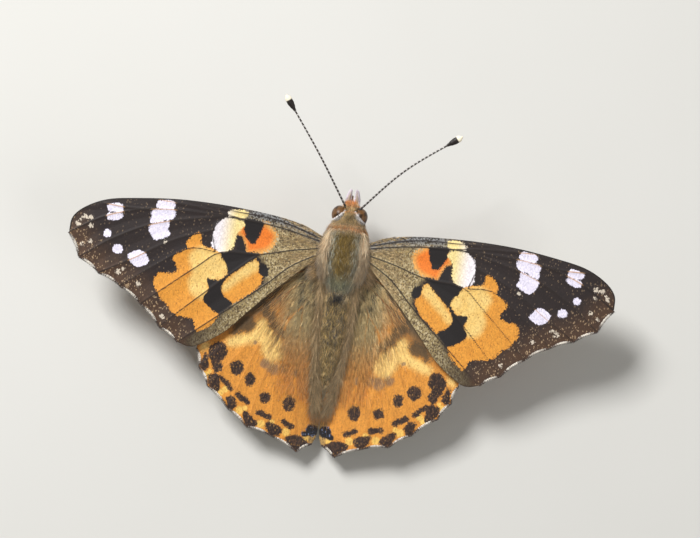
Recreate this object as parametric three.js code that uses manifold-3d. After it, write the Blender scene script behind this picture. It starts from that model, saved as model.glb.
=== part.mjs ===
// A painted lady butterfly standing with its wings open, as a still, life-size model.
// Units are millimetres and +Z is up. The butterfly faces +Y, its right side is +X, and it stands
// on the ends of its four walking legs on the plane z = 0.
// The body, wings and feelers are laid out in a body frame: u is sideways, v is forward and w is up
// from the wing hinges. The whole body frame is pitched head up above the floor.
import * as THREE from "three";
import { mergeVertices } from "three/addons/utils/BufferGeometryUtils.js";
import Module from "manifold-3d";

// Stance
const HINGE_HEIGHT = 7.8; // wing hinges above the floor
const BODY_PITCH = THREE.MathUtils.degToRad(8); // head up
const HINGE_AHEAD = 5.4; // the hinges are this far ahead of the part's origin
const JOIN_GAP = 0.3; // gap that touching pieces keep

// Wings
const WING_THICKNESS = 0.5;
const VEIN_RIDGE = 0.12; // a main vein's height over each face
const VEIN_FOOT = 0.32; // half the width of a vein's ridge
const VEIN_STATION = 1.5; // spacing of points along a vein
const MARGIN_STATION = 1.3; // spacing of points along the wing's edge
const MEMBRANE_STATION = 2.1; // spacing of points on the open membrane
const POINT_CLEARANCE = 0.25; // points nearer than this to another one are left out
const MARGIN_CLEARANCE = 0.6; // points inside the wing keep this far from its edge
const WING_RISE = 0.125; // slope of the wings out from the hinge
const WING_DROOP = 0.0019; // how fast that slope falls off towards the tip, per mm
const WING_TRAIL = 0.015; // slope of the wings along the body
const HINDWING_DROP = 1.1; // the hindwing's middle surface below the forewing's
const SCALLOP_DEPTH = 0.26; // depth of the outer margin's bays between vein ends
const ANAL_FOLD_DROP = 1.2; // how far the hindwing's inner edge folds down beside the abdomen
const ANAL_FOLD_WIDTH = 4.5;

// Body
const THORAX = { back: -5.8, front: 1.35, halfWidth: 2.6, top: 1.95, bottom: -3.35, blunt: 2.5 };
const ABDOMEN = { back: -17.9, front: -5.1, halfWidth: 1.72, halfHeight: 1.7, segments: 8, groove: 0.05 };
const ABDOMEN_AXIS = { front: -0.95, back: -1.7 };
const ABDOMEN_TAPER = [0.6, 0.9, 1, 0.99, 0.95, 0.88, 0.76, 0.6, 0.3]; // from the waist to the tip
const HEAD = { centre: [0, 2.72, -0.62], radii: [1.2, 1.22, 1.36] };
const COLLAR = { centre: [0, 1.1, -0.72], radii: [1.75, 0.85, 1.6] };
const EYE = { centre: [1.36, 2.6, -0.5], radii: [0.88, 1.08, 1.22] };
const TEGULA = { centre: [1.72, -1.5, 0.72], radii: [0.72, 2.3, 0.72] };

// Legs, palps and feelers
const LEG_RADII = [0.42, 0.34, 0.3, 0.26, 0.26];
const FOOT_FLAT_DEPTH = 0.08; // how far the foot's round underside is cut flat
const FORELEG_RADII = [0.3, 0.32, 0.3, 0.12];
const PALP_RADII = [0.28, 0.36, 0.33, 0.1];
const ANTENNA_RADIUS = 0.25;
const CLUB_RADIUS = 0.55;
const CLUB_START = 0.86; // share of the antenna's length before its club
const COIL = { centre: [4.02, -3.12], innerRadius: 0.38, pitch: 0.82, turns: 1.2, tube: 0.26 };

// The wings seen from above, each point as u and v. A vein runs from the hinge out to the margin.
const FOREWING = {
  root: { front: [1.9, -0.55], back: [1.9, -2.5] },
  costa: [
    [2.9, -0.2], [5.1, 0.72], [8.4, 1.32], [12.4, 1.62], [16.2, 1.72], [20.2, 1.6], [24.6, 1.1],
    [28.2, 0.45], [30.7, -0.75], [32.1, -2.2],
  ],
  outer: [
    [32.3, -4.0], [30.7, -6.75], [28.15, -8.25], [25.5, -9.4], [22.8, -11.15], [20.25, -13.5], [17.9, -15.0],
  ],
  inner: [[16.6, -15.35], [15.3, -14.95], [12.6, -13.0], [10.1, -10.15], [7.3, -7.1], [3.6, -3.5]],
  veins: {
    subcosta: [[2.4, -0.7], [8, 0.8], [14, 1.2], [19.4, 1.62]],
    radius: [[2.4, -1.0], [8, 0.05], [14, 0.4], [21.6, 0.2], [27.5, -1.2], [32.3, -4.0]],
    radiusFirst: [[12, 0.35], [17, 0.95], [23.2, 1.28]],
    radiusThird: [[21.6, 0.2], [25.5, -0.2], [29.4, -0.05]],
    mediaFirst: [[14.6, 0.35], [22.1, -1.5], [27, -4.0], [30.7, -6.75]],
    mediaSecond: [[15.6, -1.4], [20, -3.2], [24.4, -6.0], [28.15, -8.25]],
    mediaThird: [[15.0, -3.9], [18.0, -3.9], [21.4, -6.2], [25.5, -9.4]],
    cellEnd: [[14.6, 0.35], [15.6, -1.4], [15.0, -3.9]],
    cubitusFirst: [[2.4, -1.6], [6.1, -2.4], [9.9, -3.45], [14.3, -3.85], [17.0, -6.0], [22.8, -11.15]],
    cubitusSecond: [[9.9, -3.45], [13.0, -6.3], [17.1, -10.3], [20.25, -13.5]],
    anal: [[2.4, -2.1], [5.9, -4.2], [8.7, -6.9], [12.3, -10.1], [17.9, -15.0]],
  },
};
const HINDWING = {
  root: { front: [1.7, -2.9], back: [1.7, -6.2] },
  costa: [[2.8, -2.75], [5.2, -3.3], [8.6, -5.3], [11.8, -8.2], [14.3, -11.4], [15.55, -14.2]],
  outer: [
    [15.6, -15.4], [15.0, -17.6], [13.7, -19.65], [11.0, -21.95], [8.5, -23.8], [5.5, -24.45], [2.25, -26.0],
    [0.55, -24.9],
  ],
  inner: [[0.32, -23.4], [0.32, -19.6], [0.95, -17.6], [1.75, -14.6], [2.15, -11.2], [2.15, -8.0]],
  veins: {
    subcosta: [[2.2, -4.0], [6.5, -5.6], [11.4, -10.2], [15.6, -15.4]],
    radius: [[2.2, -4.6], [5.6, -7.0], [10.4, -12.0], [15.0, -17.6]],
    mediaFirst: [[5.6, -7.0], [9.3, -13.5], [13.7, -19.65]],
    mediaSecond: [[6.7, -9.6], [8.9, -15.6], [11.0, -21.95]],
    mediaThird: [[5.7, -11.6], [7.2, -17.5], [8.5, -23.8]],
    cubitusFirst: [[2.2, -5.2], [3.9, -8.6], [5.7, -11.6], [5.9, -18], [5.5, -24.45]],
    cubitusSecond: [[3.9, -8.6], [3.7, -16], [2.25, -26.0]],
  },
};

// A walking leg's hip is in the body frame. Its other joints are beside the hinges and above the floor.
const WALKING_LEGS = {
  mid: {
    hip: [1.1, -1.5, -2.9],
    knee: [4.9, 0.7, 5.1],
    ankle: [7.7, 1.4, 0.8],
    heel: [9.0, 1.6],
    toe: [11.9, 1.9],
  },
  hind: {
    hip: [1.1, -3.9, -2.8],
    knee: [4.7, -7.1, 4.35],
    ankle: [6.6, -11.2, 0.8],
    heel: [7.2, -12.4],
    toe: [8.3, -15.3],
  },
};
const FORELEG = [[0.75, 1.1, -2.0], [1.35, 2.5, -2.6], [1.25, 1.2, -3.75], [1.05, 0.1, -4.15]];
const PALP = [[0.5, 3.2, -1.4], [0.56, 4.2, -1.15], [0.5, 4.95, -0.75], [0.42, 5.65, -0.2]];
const ANTENNAE = {
  left: [[-0.5, 2.9, -0.1], [-4.5, 9.0, 2.6], [-9.3, 15.35, 3.9]],
  right: [[0.6, 2.9, -0.1], [5.6, 8.6, 2.6], [11.7, 13.5, 3.9]],
};

// Places the body frame above the floor.
const STANCE = new THREE.Matrix4().makeRotationX(BODY_PITCH).setPosition(0, HINGE_AHEAD, HINGE_HEIGHT);

const wasm = await Module();
wasm.setup();

// A closed geometry as a solid, turned the right way round if its faces point inwards.
function solid(geometry) {
  const bare = geometry.clone();
  bare.deleteAttribute("normal");
  bare.deleteAttribute("uv");
  const merged = mergeVertices(bare, 1e-5);
  const vertProperties = merged.attributes.position.array;
  const triVerts = new Uint32Array(merged.index.array);
  const made = new wasm.Manifold(new wasm.Mesh({ numProp: 3, vertProperties, triVerts }));
  if (made.volume() > 0) return made;
  return new wasm.Manifold(new wasm.Mesh({ numProp: 3, vertProperties, triVerts: triVerts.reverse() }));
}

// The same, with the geometry carried from the body frame to its place above the floor.
function stanced(geometry) {
  return solid(geometry.applyMatrix4(STANCE));
}

function geometryOf(manifold) {
  const mesh = manifold.getMesh();
  const geometry = new THREE.BufferGeometry();
  geometry.setAttribute("position", new THREE.BufferAttribute(new Float32Array(mesh.vertProperties), 3));
  geometry.setIndex(new THREE.BufferAttribute(new Uint32Array(mesh.triVerts), 1));
  return geometry;
}

// A piece with its neighbours cut away from it, of which the largest closed body is kept.
function cutBy(piece, ...neighbours) {
  const left = neighbours.reduce((rest, neighbour) => rest.subtract(neighbour), piece);
  return left.decompose().reduce((a, b) => (a.volume() > b.volume() ? a : b));
}

// A closed skin over rings of points, with a fan over each end.
function loft(rings) {
  const sides = rings[0].length;
  const points = rings.flat();
  const index = [];
  for (let ring = 0; ring + 1 < rings.length; ring++) {
    for (let side = 0; side < sides; side++) {
      const a = ring * sides + side;
      const b = ring * sides + ((side + 1) % sides);
      index.push(a, b, b + sides, a, b + sides, a + sides);
    }
  }
  const middle = (ring) => ring.reduce((sum, p) => sum.add(p), new THREE.Vector3()).divideScalar(sides);
  const start = points.push(middle(rings[0])) - 1;
  const end = points.push(middle(rings[rings.length - 1])) - 1;
  const last = (rings.length - 1) * sides;
  for (let side = 0; side < sides; side++) {
    const next = (side + 1) % sides;
    index.push(start, next, side, end, last + side, last + next);
  }
  const geometry = new THREE.BufferGeometry().setFromPoints(points);
  geometry.setIndex(index);
  return geometry;
}

// A ring of points round a centre, in the plane of two half axes.
function ringOf(sides, centre, across, up, bluntness = 2) {
  const power = 2 / bluntness;
  const squared = (x) => Math.sign(x) * Math.abs(x) ** power;
  return Array.from({ length: sides }, (_, side) => {
    const angle = (side / sides) * 2 * Math.PI;
    return centre
      .clone()
      .addScaledVector(across, squared(Math.cos(angle)))
      .addScaledVector(up, squared(Math.sin(angle)));
  });
}

// A ring along the body, upright in the body frame.
function bodyRing(sides, v, w, halfWidth, halfHeight, bluntness) {
  const across = new THREE.Vector3(halfWidth, 0, 0);
  const up = new THREE.Vector3(0, 0, halfHeight);
  return ringOf(sides, new THREE.Vector3(0, v, w), across, up, bluntness);
}

function ellipsoid({ centre, radii }, side = 1, grow = 0) {
  const geometry = new THREE.SphereGeometry(1, 20, 14);
  geometry.scale(...radii.map((radius) => radius + grow));
  geometry.translate(side * centre[0], centre[1], centre[2]);
  return stanced(geometry);
}

// A round tube along points, each with its radius.
function tube(points, radii, sides = 8) {
  const along = points.map((_, i) => {
    const before = points[Math.max(i - 1, 0)];
    const after = points[Math.min(i + 1, points.length - 1)];
    return after.clone().sub(before).normalize();
  });
  const across = new THREE.Vector3(0, 0, 1).cross(along[0]).normalize();
  return loft(
    points.map((point, i) => {
      across.addScaledVector(along[i], -across.dot(along[i])).normalize();
      const up = along[i].clone().cross(across);
      return ringOf(sides, point, across.clone().multiplyScalar(radii[i]), up.multiplyScalar(radii[i]));
    }),
  );
}

// A limb through its joints, bent tightly at each, with a radius given at each joint.
function limb(joints, radii, stepsPerPiece = 5) {
  const bend = 0.3;
  const steps = stepsPerPiece * (joints.length - 1);
  const points = new THREE.CatmullRomCurve3(joints, false, "catmullrom", bend).getPoints(steps);
  const radiusAt = (i) => {
    const joint = Math.min(Math.floor(i / stepsPerPiece), radii.length - 2);
    return THREE.MathUtils.lerp(radii[joint], radii[joint + 1], i / stepsPerPiece - joint);
  };
  return tube(points, points.map((_, i) => radiusAt(i)));
}

// A point seen from above, and a point with u mirrored for the left side.
const flat = ([u, v]) => new THREE.Vector2(u, v);
const onSide = (side, [u, v, w]) => new THREE.Vector3(side * u, v, w);

function thorax(grow = 0) {
  const { back, front, halfWidth, top, bottom, blunt } = THORAX;
  const steps = 12;
  const rings = Array.from({ length: steps + 1 }, (_, i) => {
    const x = -Math.cos((Math.PI * (i + 0.35)) / (steps + 0.7));
    const swell = (1 - Math.abs(x) ** blunt) ** (1 / blunt);
    const v = (front + back) / 2 + (x * (front - back)) / 2 + x * grow;
    const halfHeight = (top - bottom) / 2;
    const w = (top + bottom) / 2;
    return bodyRing(24, v, w, (halfWidth + grow) * swell, (halfHeight + grow) * swell, 2.2);
  });
  return stanced(loft(rings));
}

// The abdomen narrows at the waist and tapers to its tip, with a groove between segments.
function abdomen(grow = 0) {
  const { back, front, halfWidth, halfHeight, segments, groove } = ABDOMEN;
  const ringsPerSegment = 3;
  const steps = segments * ringsPerSegment;
  const rings = Array.from({ length: steps + 1 }, (_, i) => {
    const t = i / steps;
    const piece = Math.min(Math.floor(i / ringsPerSegment), segments - 1);
    const share = i / ringsPerSegment - piece;
    const taper = THREE.MathUtils.lerp(ABDOMEN_TAPER[piece], ABDOMEN_TAPER[piece + 1], share);
    const swell = taper * (i % ringsPerSegment === 0 && grow === 0 ? 1 - groove : 1);
    const v = THREE.MathUtils.lerp(front + grow, back - grow, t);
    const w = THREE.MathUtils.lerp(ABDOMEN_AXIS.front, ABDOMEN_AXIS.back, t);
    return bodyRing(18, v, w, halfWidth * swell + grow, halfHeight * swell + grow);
  });
  return stanced(loft(rings));
}

// Delaunay triangles over points: each point added opens the triangles whose circle holds it.
function delaunay(points) {
  const far = 1000;
  const around = [[-far, -far], [far, -far], [0, far]].map(flat);
  const all = [...points, ...around];
  const circled = (corners) => {
    const [a, b, c] = corners.map((corner) => all[corner]);
    const twist = 2 * (a.x * (b.y - c.y) + b.x * (c.y - a.y) + c.x * (a.y - b.y));
    const [aa, bb, cc] = [a.lengthSq(), b.lengthSq(), c.lengthSq()];
    const x = (aa * (b.y - c.y) + bb * (c.y - a.y) + cc * (a.y - b.y)) / twist;
    const y = (aa * (c.x - b.x) + bb * (a.x - c.x) + cc * (b.x - a.x)) / twist;
    const centre = new THREE.Vector2(x, y);
    return { corners, centre, reach: centre.distanceToSquared(a) };
  };
  let triangles = [circled(around.map((_, i) => points.length + i))];
  points.forEach((point, index) => {
    const rounding = 1e-9;
    const holds = (triangle) => point.distanceToSquared(triangle.centre) < triangle.reach - rounding;
    const opened = triangles.filter(holds);
    const edges = opened.flatMap(({ corners: [a, b, c] }) => [[a, b], [b, c], [c, a]]);
    const border = edges.filter(([a, b]) => !edges.some(([c, d]) => a === d && b === c));
    const closed = border.map(([a, b]) => circled([a, b, index]));
    triangles = triangles.filter((triangle) => !holds(triangle)).concat(closed);
  });
  const corners = triangles.map((triangle) => triangle.corners);
  return corners.filter((three) => Math.max(...three) < points.length);
}

const spline = (points, station) => {
  const curve = new THREE.SplineCurve(points.map(flat));
  return curve.getSpacedPoints(Math.max(1, Math.round(curve.getLength() / station)));
};

// A wing's closed outline: out along the costa, round the scalloped margin and back along the inner edge.
function wingOutline({ root, costa, outer, inner }) {
  const bays = outer.slice(1).flatMap((end, i) => {
    const from = flat(outer[i]);
    const to = flat(end);
    const inward = new THREE.Vector2(to.y - from.y, from.x - to.x).normalize();
    return [0.25, 0.5, 0.75, 1].map((t) =>
      from.clone().lerp(to, t).addScaledVector(inward, SCALLOP_DEPTH * Math.sin(Math.PI * t)),
    );
  });
  const front = spline([root.front, ...costa, outer[0]], MARGIN_STATION);
  const back = spline([outer[outer.length - 1], ...inner, root.back], MARGIN_STATION);
  return [...front, ...bays, ...back.slice(1)];
}

function distanceTo(point, line) {
  return Math.min(
    ...line.slice(1).map((end, i) => {
      const run = end.clone().sub(line[i]);
      const t = THREE.MathUtils.clamp(point.clone().sub(line[i]).dot(run) / run.lengthSq(), 0, 1);
      return point.distanceTo(line[i].clone().addScaledVector(run, t));
    }),
  );
}

function inside(point, outline) {
  let within = false;
  outline.forEach((a, i) => {
    const b = outline[(i + 1) % outline.length];
    const crosses = a.y > point.y !== b.y > point.y;
    if (crosses && point.x < a.x + ((point.y - a.y) * (b.x - a.x)) / (b.y - a.y)) within = !within;
  });
  return within;
}

// The middle surface of the wings above the hinges, for each wing.
function wingHeight(u, v) {
  return WING_RISE * u - WING_DROOP * u * u + WING_TRAIL * v;
}
function hindwingHeight(u, v) {
  const fold = Math.max(0, 1 - u / ANAL_FOLD_WIDTH);
  return wingHeight(u, v) - HINDWING_DROP - ANAL_FOLD_DROP * fold * fold;
}

// A wing is split into triangles between its edge, its veins, the feet of their ridges and the open
// membrane. Both faces use the same triangles, and the veins stand up as ridges in each face.
function wing(shape, height, side) {
  const outline = wingOutline(shape);
  const veins = Object.values(shape.veins).map((vein) => spline(vein, VEIN_STATION));
  const points = [...outline];
  const add = (point, clearance) => {
    if (points.every((other) => other.distanceTo(point) > clearance)) points.push(point);
  };
  const addInside = (point, clearance) => {
    const clear = inside(point, outline) && distanceTo(point, [...outline, outline[0]]) > MARGIN_CLEARANCE;
    if (clear) add(point, clearance);
  };
  veins.forEach((vein) => vein.forEach((point) => addInside(point, POINT_CLEARANCE)));
  veins.forEach((vein) =>
    vein.forEach((point, i) => {
      const run = vein[Math.min(i + 1, vein.length - 1)].clone().sub(vein[Math.max(i - 1, 0)]).normalize();
      const across = new THREE.Vector2(-run.y, run.x);
      addInside(point.clone().addScaledVector(across, VEIN_FOOT), POINT_CLEARANCE);
      addInside(point.clone().addScaledVector(across, -VEIN_FOOT), POINT_CLEARANCE);
    }),
  );
  const reach = new THREE.Box2().setFromPoints(outline);
  for (let row = 0; row * MEMBRANE_STATION < reach.max.y - reach.min.y; row++) {
    for (let column = 0; column * MEMBRANE_STATION < reach.max.x - reach.min.x; column++) {
      const u = reach.min.x + (column + (row % 2) / 2) * MEMBRANE_STATION;
      const v = reach.min.y + row * MEMBRANE_STATION;
      addInside(new THREE.Vector2(u, v), MEMBRANE_STATION / 2);
    }
  }
  const faces = delaunay(points).filter((corners) => {
    const middle = corners.reduce((sum, corner) => sum.add(points[corner]), new THREE.Vector2());
    return inside(middle.divideScalar(3), outline);
  });
  const edges = faces.flatMap(([a, b, c]) => [[a, b], [b, c], [c, a]]);
  const ends = new Set(edges.map(([a, b]) => `${a} ${b}`));
  const rim = edges.filter(([a, b]) => !ends.has(`${b} ${a}`));
  const under = points.length;
  const index = [
    ...faces.flatMap(([a, b, c]) => [a, b, c, under + a, under + c, under + b]),
    ...rim.flatMap(([a, b]) => [a, under + a, under + b, a, under + b, b]),
  ];
  const faced = (up) =>
    points.map((point) => {
      const nearest = Math.min(...veins.map((vein) => distanceTo(point, vein)));
      const ridge = VEIN_RIDGE * Math.max(0, 1 - nearest / VEIN_FOOT);
      const w = height(point.x, point.y) + up * (WING_THICKNESS / 2 + ridge);
      return onSide(side, [point.x, point.y, w]);
    });
  const geometry = new THREE.BufferGeometry().setFromPoints([...faced(1), ...faced(-1)]);
  geometry.setIndex(index);
  return stanced(geometry);
}

// The proboscis coils in the middle plane and its outer end rises to the head.
function proboscis(grow = 0) {
  const { centre, innerRadius, pitch, turns, tube: radius } = COIL;
  const steps = 22;
  const points = Array.from({ length: steps + 1 }, (_, i) => {
    const turn = (i / steps) * turns;
    const reach = innerRadius + pitch * turn;
    const angle = 2 * Math.PI * (turn - turns) + Math.PI;
    return new THREE.Vector3(0, centre[0] + reach * Math.cos(angle), centre[1] + reach * Math.sin(angle));
  });
  points.push(new THREE.Vector3(0, HEAD.centre[1], HEAD.centre[2] - HEAD.radii[2] / 2));
  return stanced(tube(points, points.map(() => radius + grow)));
}

function antenna(joints) {
  const steps = 16;
  const points = new THREE.CatmullRomCurve3(joints).getPoints(steps);
  const radii = points.map((_, i) => {
    const club = Math.max(0, i / steps - CLUB_START) / (1 - CLUB_START);
    const swell = 1.6; // the club is at full width before its tip
    const radius = THREE.MathUtils.lerp(ANTENNA_RADIUS, CLUB_RADIUS, Math.min(1, swell * club));
    return i === steps ? ANTENNA_RADIUS : radius;
  });
  return stanced(tube(points, radii));
}

function walkingLeg({ hip, knee, ankle, heel, toe }, side) {
  const aboveFloor = LEG_RADII[LEG_RADII.length - 1] - FOOT_FLAT_DEPTH;
  const grounded = (joint) => onSide(side, joint).add(new THREE.Vector3(0, HINGE_AHEAD, 0));
  const joints = [
    onSide(side, hip).applyMatrix4(STANCE),
    grounded(knee),
    grounded(ankle),
    grounded([...heel, aboveFloor]),
    grounded([...toe, aboveFloor]),
  ];
  return solid(limb(joints, LEG_RADII));
}

const finishes = {
  fur: { color: 0x7a6a4c, roughness: 0.9, metalness: 0 },
  eye: { color: 0x3a2a22, roughness: 0.25, metalness: 0 },
  shaft: { color: 0x2a241f, roughness: 0.6, metalness: 0 },
  palp: { color: 0xb9aea4, roughness: 0.9, metalness: 0 },
  forewing: { color: 0xb86a35, roughness: 0.75, metalness: 0 },
  hindwing: { color: 0xc07a3c, roughness: 0.75, metalness: 0 },
  leg: { color: 0xb59c78, roughness: 0.7, metalness: 0 },
};

const butterfly = new THREE.Group();

function addNode(name, manifold, finish) {
  const mesh = new THREE.Mesh(geometryOf(manifold), new THREE.MeshStandardMaterial(finishes[finish]));
  mesh.name = name;
  butterfly.add(mesh);
}

// The body: the thorax carries the collar and the lappets over the wing roots.
const SIDES = { left: -1, right: 1 };
const tegulae = Object.values(SIDES).map((side) => ellipsoid(TEGULA, side));
const thoraxParts = [thorax(), ellipsoid(COLLAR), ...tegulae];
const clearOfThorax = [
  thorax(JOIN_GAP),
  ellipsoid(COLLAR, 1, JOIN_GAP),
  ...Object.values(SIDES).map((side) => ellipsoid(TEGULA, side, JOIN_GAP)),
];
const clearOfEyes = Object.values(SIDES).map((side) => ellipsoid(EYE, side, JOIN_GAP));
const clearOfHead = ellipsoid(HEAD, 1, JOIN_GAP);
const clearOfCoil = proboscis(JOIN_GAP);
const clearOfAbdomen = abdomen(JOIN_GAP);
addNode("thorax", thoraxParts.reduce((sum, part) => sum.add(part)), "fur");
addNode("abdomen", cutBy(abdomen(), ...clearOfThorax), "fur");
addNode("head", cutBy(ellipsoid(HEAD), ...clearOfThorax), "fur");
addNode("proboscis", cutBy(proboscis(), clearOfHead, ...clearOfThorax), "shaft");

// Everything that comes in pairs.
const floorSize = 80;
const floor = solid(new THREE.BoxGeometry(floorSize, floorSize, floorSize).translate(0, 0, -floorSize / 2));
for (const [sideName, side] of Object.entries(SIDES)) {
  const bent = (joints) => joints.map((joint) => onSide(side, joint));
  const palp = stanced(limb(bent(PALP), PALP_RADII));
  const foreleg = stanced(limb(bent(FORELEG), FORELEG_RADII));
  const forewing = wing(FOREWING, wingHeight, side);
  const hindwing = wing(HINDWING, hindwingHeight, side);
  addNode(`eye_${sideName}`, cutBy(ellipsoid(EYE, side), clearOfHead, ...clearOfThorax), "eye");
  const feeler = antenna(ANTENNAE[sideName].map((joint) => new THREE.Vector3(...joint)));
  addNode(`antenna_${sideName}`, cutBy(feeler, clearOfHead, ...clearOfEyes), "shaft");
  addNode(`palp_${sideName}`, cutBy(palp, clearOfHead, clearOfCoil, ...clearOfEyes), "palp");
  addNode(`forewing_${sideName}`, cutBy(forewing, ...clearOfThorax), "forewing");
  addNode(`hindwing_${sideName}`, cutBy(hindwing, ...clearOfThorax, clearOfAbdomen), "hindwing");
  addNode(`foreleg_${sideName}`, cutBy(foreleg, clearOfHead, ...clearOfThorax, clearOfCoil), "leg");
  for (const [pairName, joints] of Object.entries(WALKING_LEGS)) {
    const leg = cutBy(walkingLeg(joints, side), ...clearOfThorax, clearOfAbdomen, floor);
    addNode(`leg_${pairName}_${sideName}`, leg, "leg");
  }
}

export default butterfly;
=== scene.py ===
# A painted lady butterfly standing with its wings spread flat, as a life-size still model.
# Shapes are worked out in a body frame in millimetres: u to the butterfly's right, v forward and
# w up from the wing hinges. The stance then carries them to metres above the floor.
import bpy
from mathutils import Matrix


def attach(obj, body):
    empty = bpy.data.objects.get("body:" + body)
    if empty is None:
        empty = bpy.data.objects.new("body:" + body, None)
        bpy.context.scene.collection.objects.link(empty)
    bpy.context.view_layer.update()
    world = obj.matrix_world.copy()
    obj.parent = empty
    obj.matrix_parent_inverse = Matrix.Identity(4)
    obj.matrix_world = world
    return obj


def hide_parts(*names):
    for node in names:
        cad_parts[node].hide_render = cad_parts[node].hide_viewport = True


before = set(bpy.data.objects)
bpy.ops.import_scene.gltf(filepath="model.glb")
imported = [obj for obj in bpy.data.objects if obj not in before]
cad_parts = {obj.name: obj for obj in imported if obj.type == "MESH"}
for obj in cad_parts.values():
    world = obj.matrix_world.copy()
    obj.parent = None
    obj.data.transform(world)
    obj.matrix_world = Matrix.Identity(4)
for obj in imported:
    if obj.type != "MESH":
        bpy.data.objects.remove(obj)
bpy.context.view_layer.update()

import math

import bpy
import numpy as np
from mathutils import Matrix, Vector

# Forewings. Each is a thin membrane held out by hollow veins and covered on both faces in rows of
# overlapping scales, which make all the colours. It is hinged to the thorax and lies over the hindwing.
MM = 0.001
PITCH = math.radians(8.0)
HINGE = np.array([0.0, 5.4, 7.8])
SIDES = {"left": -1.0, "right": 1.0}
random = np.random.default_rng(20)


def stance(points):
    """Body frame to metres: turned head up by the pitch about the hinges, then moved to the hinges."""
    u, v, w = np.moveaxis(np.asarray(points, float), -1, 0)
    forward = v * math.cos(PITCH) - w * math.sin(PITCH)
    up = v * math.sin(PITCH) + w * math.cos(PITCH)
    return (np.stack([u, forward, up], -1) + HINGE) * MM


def turned(directions):
    """A direction in the body frame, turned with the stance."""
    return (stance(directions) - stance(np.zeros(3))) / MM


def between(at, stops, rows):
    """Each column of the rows, read off in straight lines at places between the stops."""
    return np.stack([np.interp(at, stops, column) for column in rows.T], -1)


def unit_rows(rows):
    """Each row scaled to a length of 1."""
    return rows / np.maximum(np.linalg.norm(rows, axis=-1, keepdims=True), 1e-9)


def spline(points, count, closed=False):
    """Catmull-Rom curve through the points, at count places equally far apart along it."""
    p = np.asarray(points, float)
    if closed:
        p = np.vstack([p[-1], p, p[:2]])
    else:
        p = np.vstack([2 * p[0] - p[1], p, 2 * p[-1] - p[-2]])
    a, b, c, d = p[:-3], p[1:-2], p[2:-1], p[3:]
    t = np.linspace(0, 1, 20, endpoint=False)[:, None, None]
    fine = 0.5 * (2 * b + (c - a) * t + (2 * a - 5 * b + 4 * c - d) * t**2 + (3 * b - a - 3 * c + d) * t**3)
    fine = np.vstack([fine.transpose(1, 0, 2).reshape(-1, p.shape[1]), c[-1]])
    along = np.append(0, np.cumsum(np.linalg.norm(np.diff(fine, axis=0), axis=1)))
    return between(np.linspace(0, along[-1], count), along, fine)


BAY_STEPS = 14


def scalloped(ends, depth):
    """The outer margin: straight from one vein end to the next, less a half sine of the given depth.
    Also gives the share of the bay's depth at each place, which is 0 at a vein end and 1 between them."""
    ends = np.asarray(ends, float)
    t = np.linspace(0, 1, BAY_STEPS, endpoint=False)[None, :, None]
    run = np.diff(ends, axis=0)[:, None]
    inward = np.stack([-run[..., 1], run[..., 0]], -1) / np.linalg.norm(run, axis=-1, keepdims=True)
    line = ends[:-1, None] + run * t + inward * depth * np.sin(np.pi * t)
    bay = np.broadcast_to(np.sin(np.pi * t), line.shape)[..., 0]
    return np.vstack([line.reshape(-1, 2), ends[-1:]]), np.append(bay.ravel(), 0)


def distance_to(places, line):
    """Distance from each place to the nearest point of a line of short straight pieces."""
    best = np.full(len(places), np.inf)
    for start, end in zip(line[:-1], line[1:]):
        run = end - start
        t = np.clip((places - start) @ run / max(run @ run, 1e-12), 0, 1)
        best = np.minimum(best, np.linalg.norm(places - start - t[:, None] * run, axis=1))
    return best


def within(places, line):
    """Whether each place is inside a closed line: a level ray from it crosses the line an odd number of
    times."""
    x, y = places.T
    inside = np.zeros(len(places), bool)
    for (ax, ay), (bx, by) in zip(line[:-1], line[1:]):
        inside ^= ((ay > y) != (by > y)) & (x < ax + (y - ay) * (bx - ax) / (by - ay + 1e-12))
    return inside


def patch(places, corners):
    """Distance to the rounded outline through the corners, positive inside."""
    line = spline(corners, 5 * len(corners) + 1, closed=True)
    return np.where(within(places, line), 1, -1) * distance_to(places, line)


def dot(places, centre, across, along):
    """Roughly the distance inside an ellipse: its smaller half axis times one less the scaled radius."""
    du, dv = (places - np.asarray(centre)).T
    return (1 - np.hypot(du / across, dv / along)) * min(across, along)


def stroke(places, start, end, half):
    """A short bar with round ends: half its width less the distance to its middle line."""
    return half - distance_to(places, np.asarray([start, end], float))


def glow(places, spots):
    """A soft weight that is 1 at each spot and falls off as a bell of the spot's size."""
    return np.max([np.exp(-np.sum((places - (u, v)) ** 2, 1) / size**2) for u, v, size in spots], axis=0)


def soft(x, low, high):
    """0 below low, 1 above high and a smooth step between them."""
    t = np.clip((x - low) / (high - low), 0, 1)
    return t * t * (3 - 2 * t)


def tone(code):
    """A colour written as six hexadecimal digits, in linear light."""
    parts = [int(code[i : i + 2], 16) / 255 for i in (0, 2, 4)]
    return tuple(c / 12.92 if c <= 0.04045 else ((c + 0.055) / 1.055) ** 2.4 for c in parts) + (1.0,)


def build_mesh(name, points, faces, smooth=True):
    """A mesh from an array of points in metres and a list of arrays of faces with equal corner counts."""
    mesh = bpy.data.meshes.new(name)
    mesh.vertices.add(len(points))
    mesh.vertices.foreach_set("co", np.asarray(points, np.float32).ravel())
    corners = np.concatenate([block.ravel() for block in faces])
    sizes = np.concatenate([np.full(len(block), block.shape[1]) for block in faces])
    mesh.loops.add(len(corners))
    mesh.loops.foreach_set("vertex_index", corners.astype(np.int32))
    mesh.polygons.add(len(sizes))
    mesh.polygons.foreach_set("loop_start", np.append(0, np.cumsum(sizes)[:-1]).astype(np.int32))
    mesh.polygons.foreach_set("use_smooth", np.full(len(sizes), smooth))
    mesh.update(calc_edges=True)
    piece = bpy.data.objects.new(name, mesh)
    bpy.context.scene.collection.objects.link(piece)
    return piece


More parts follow.
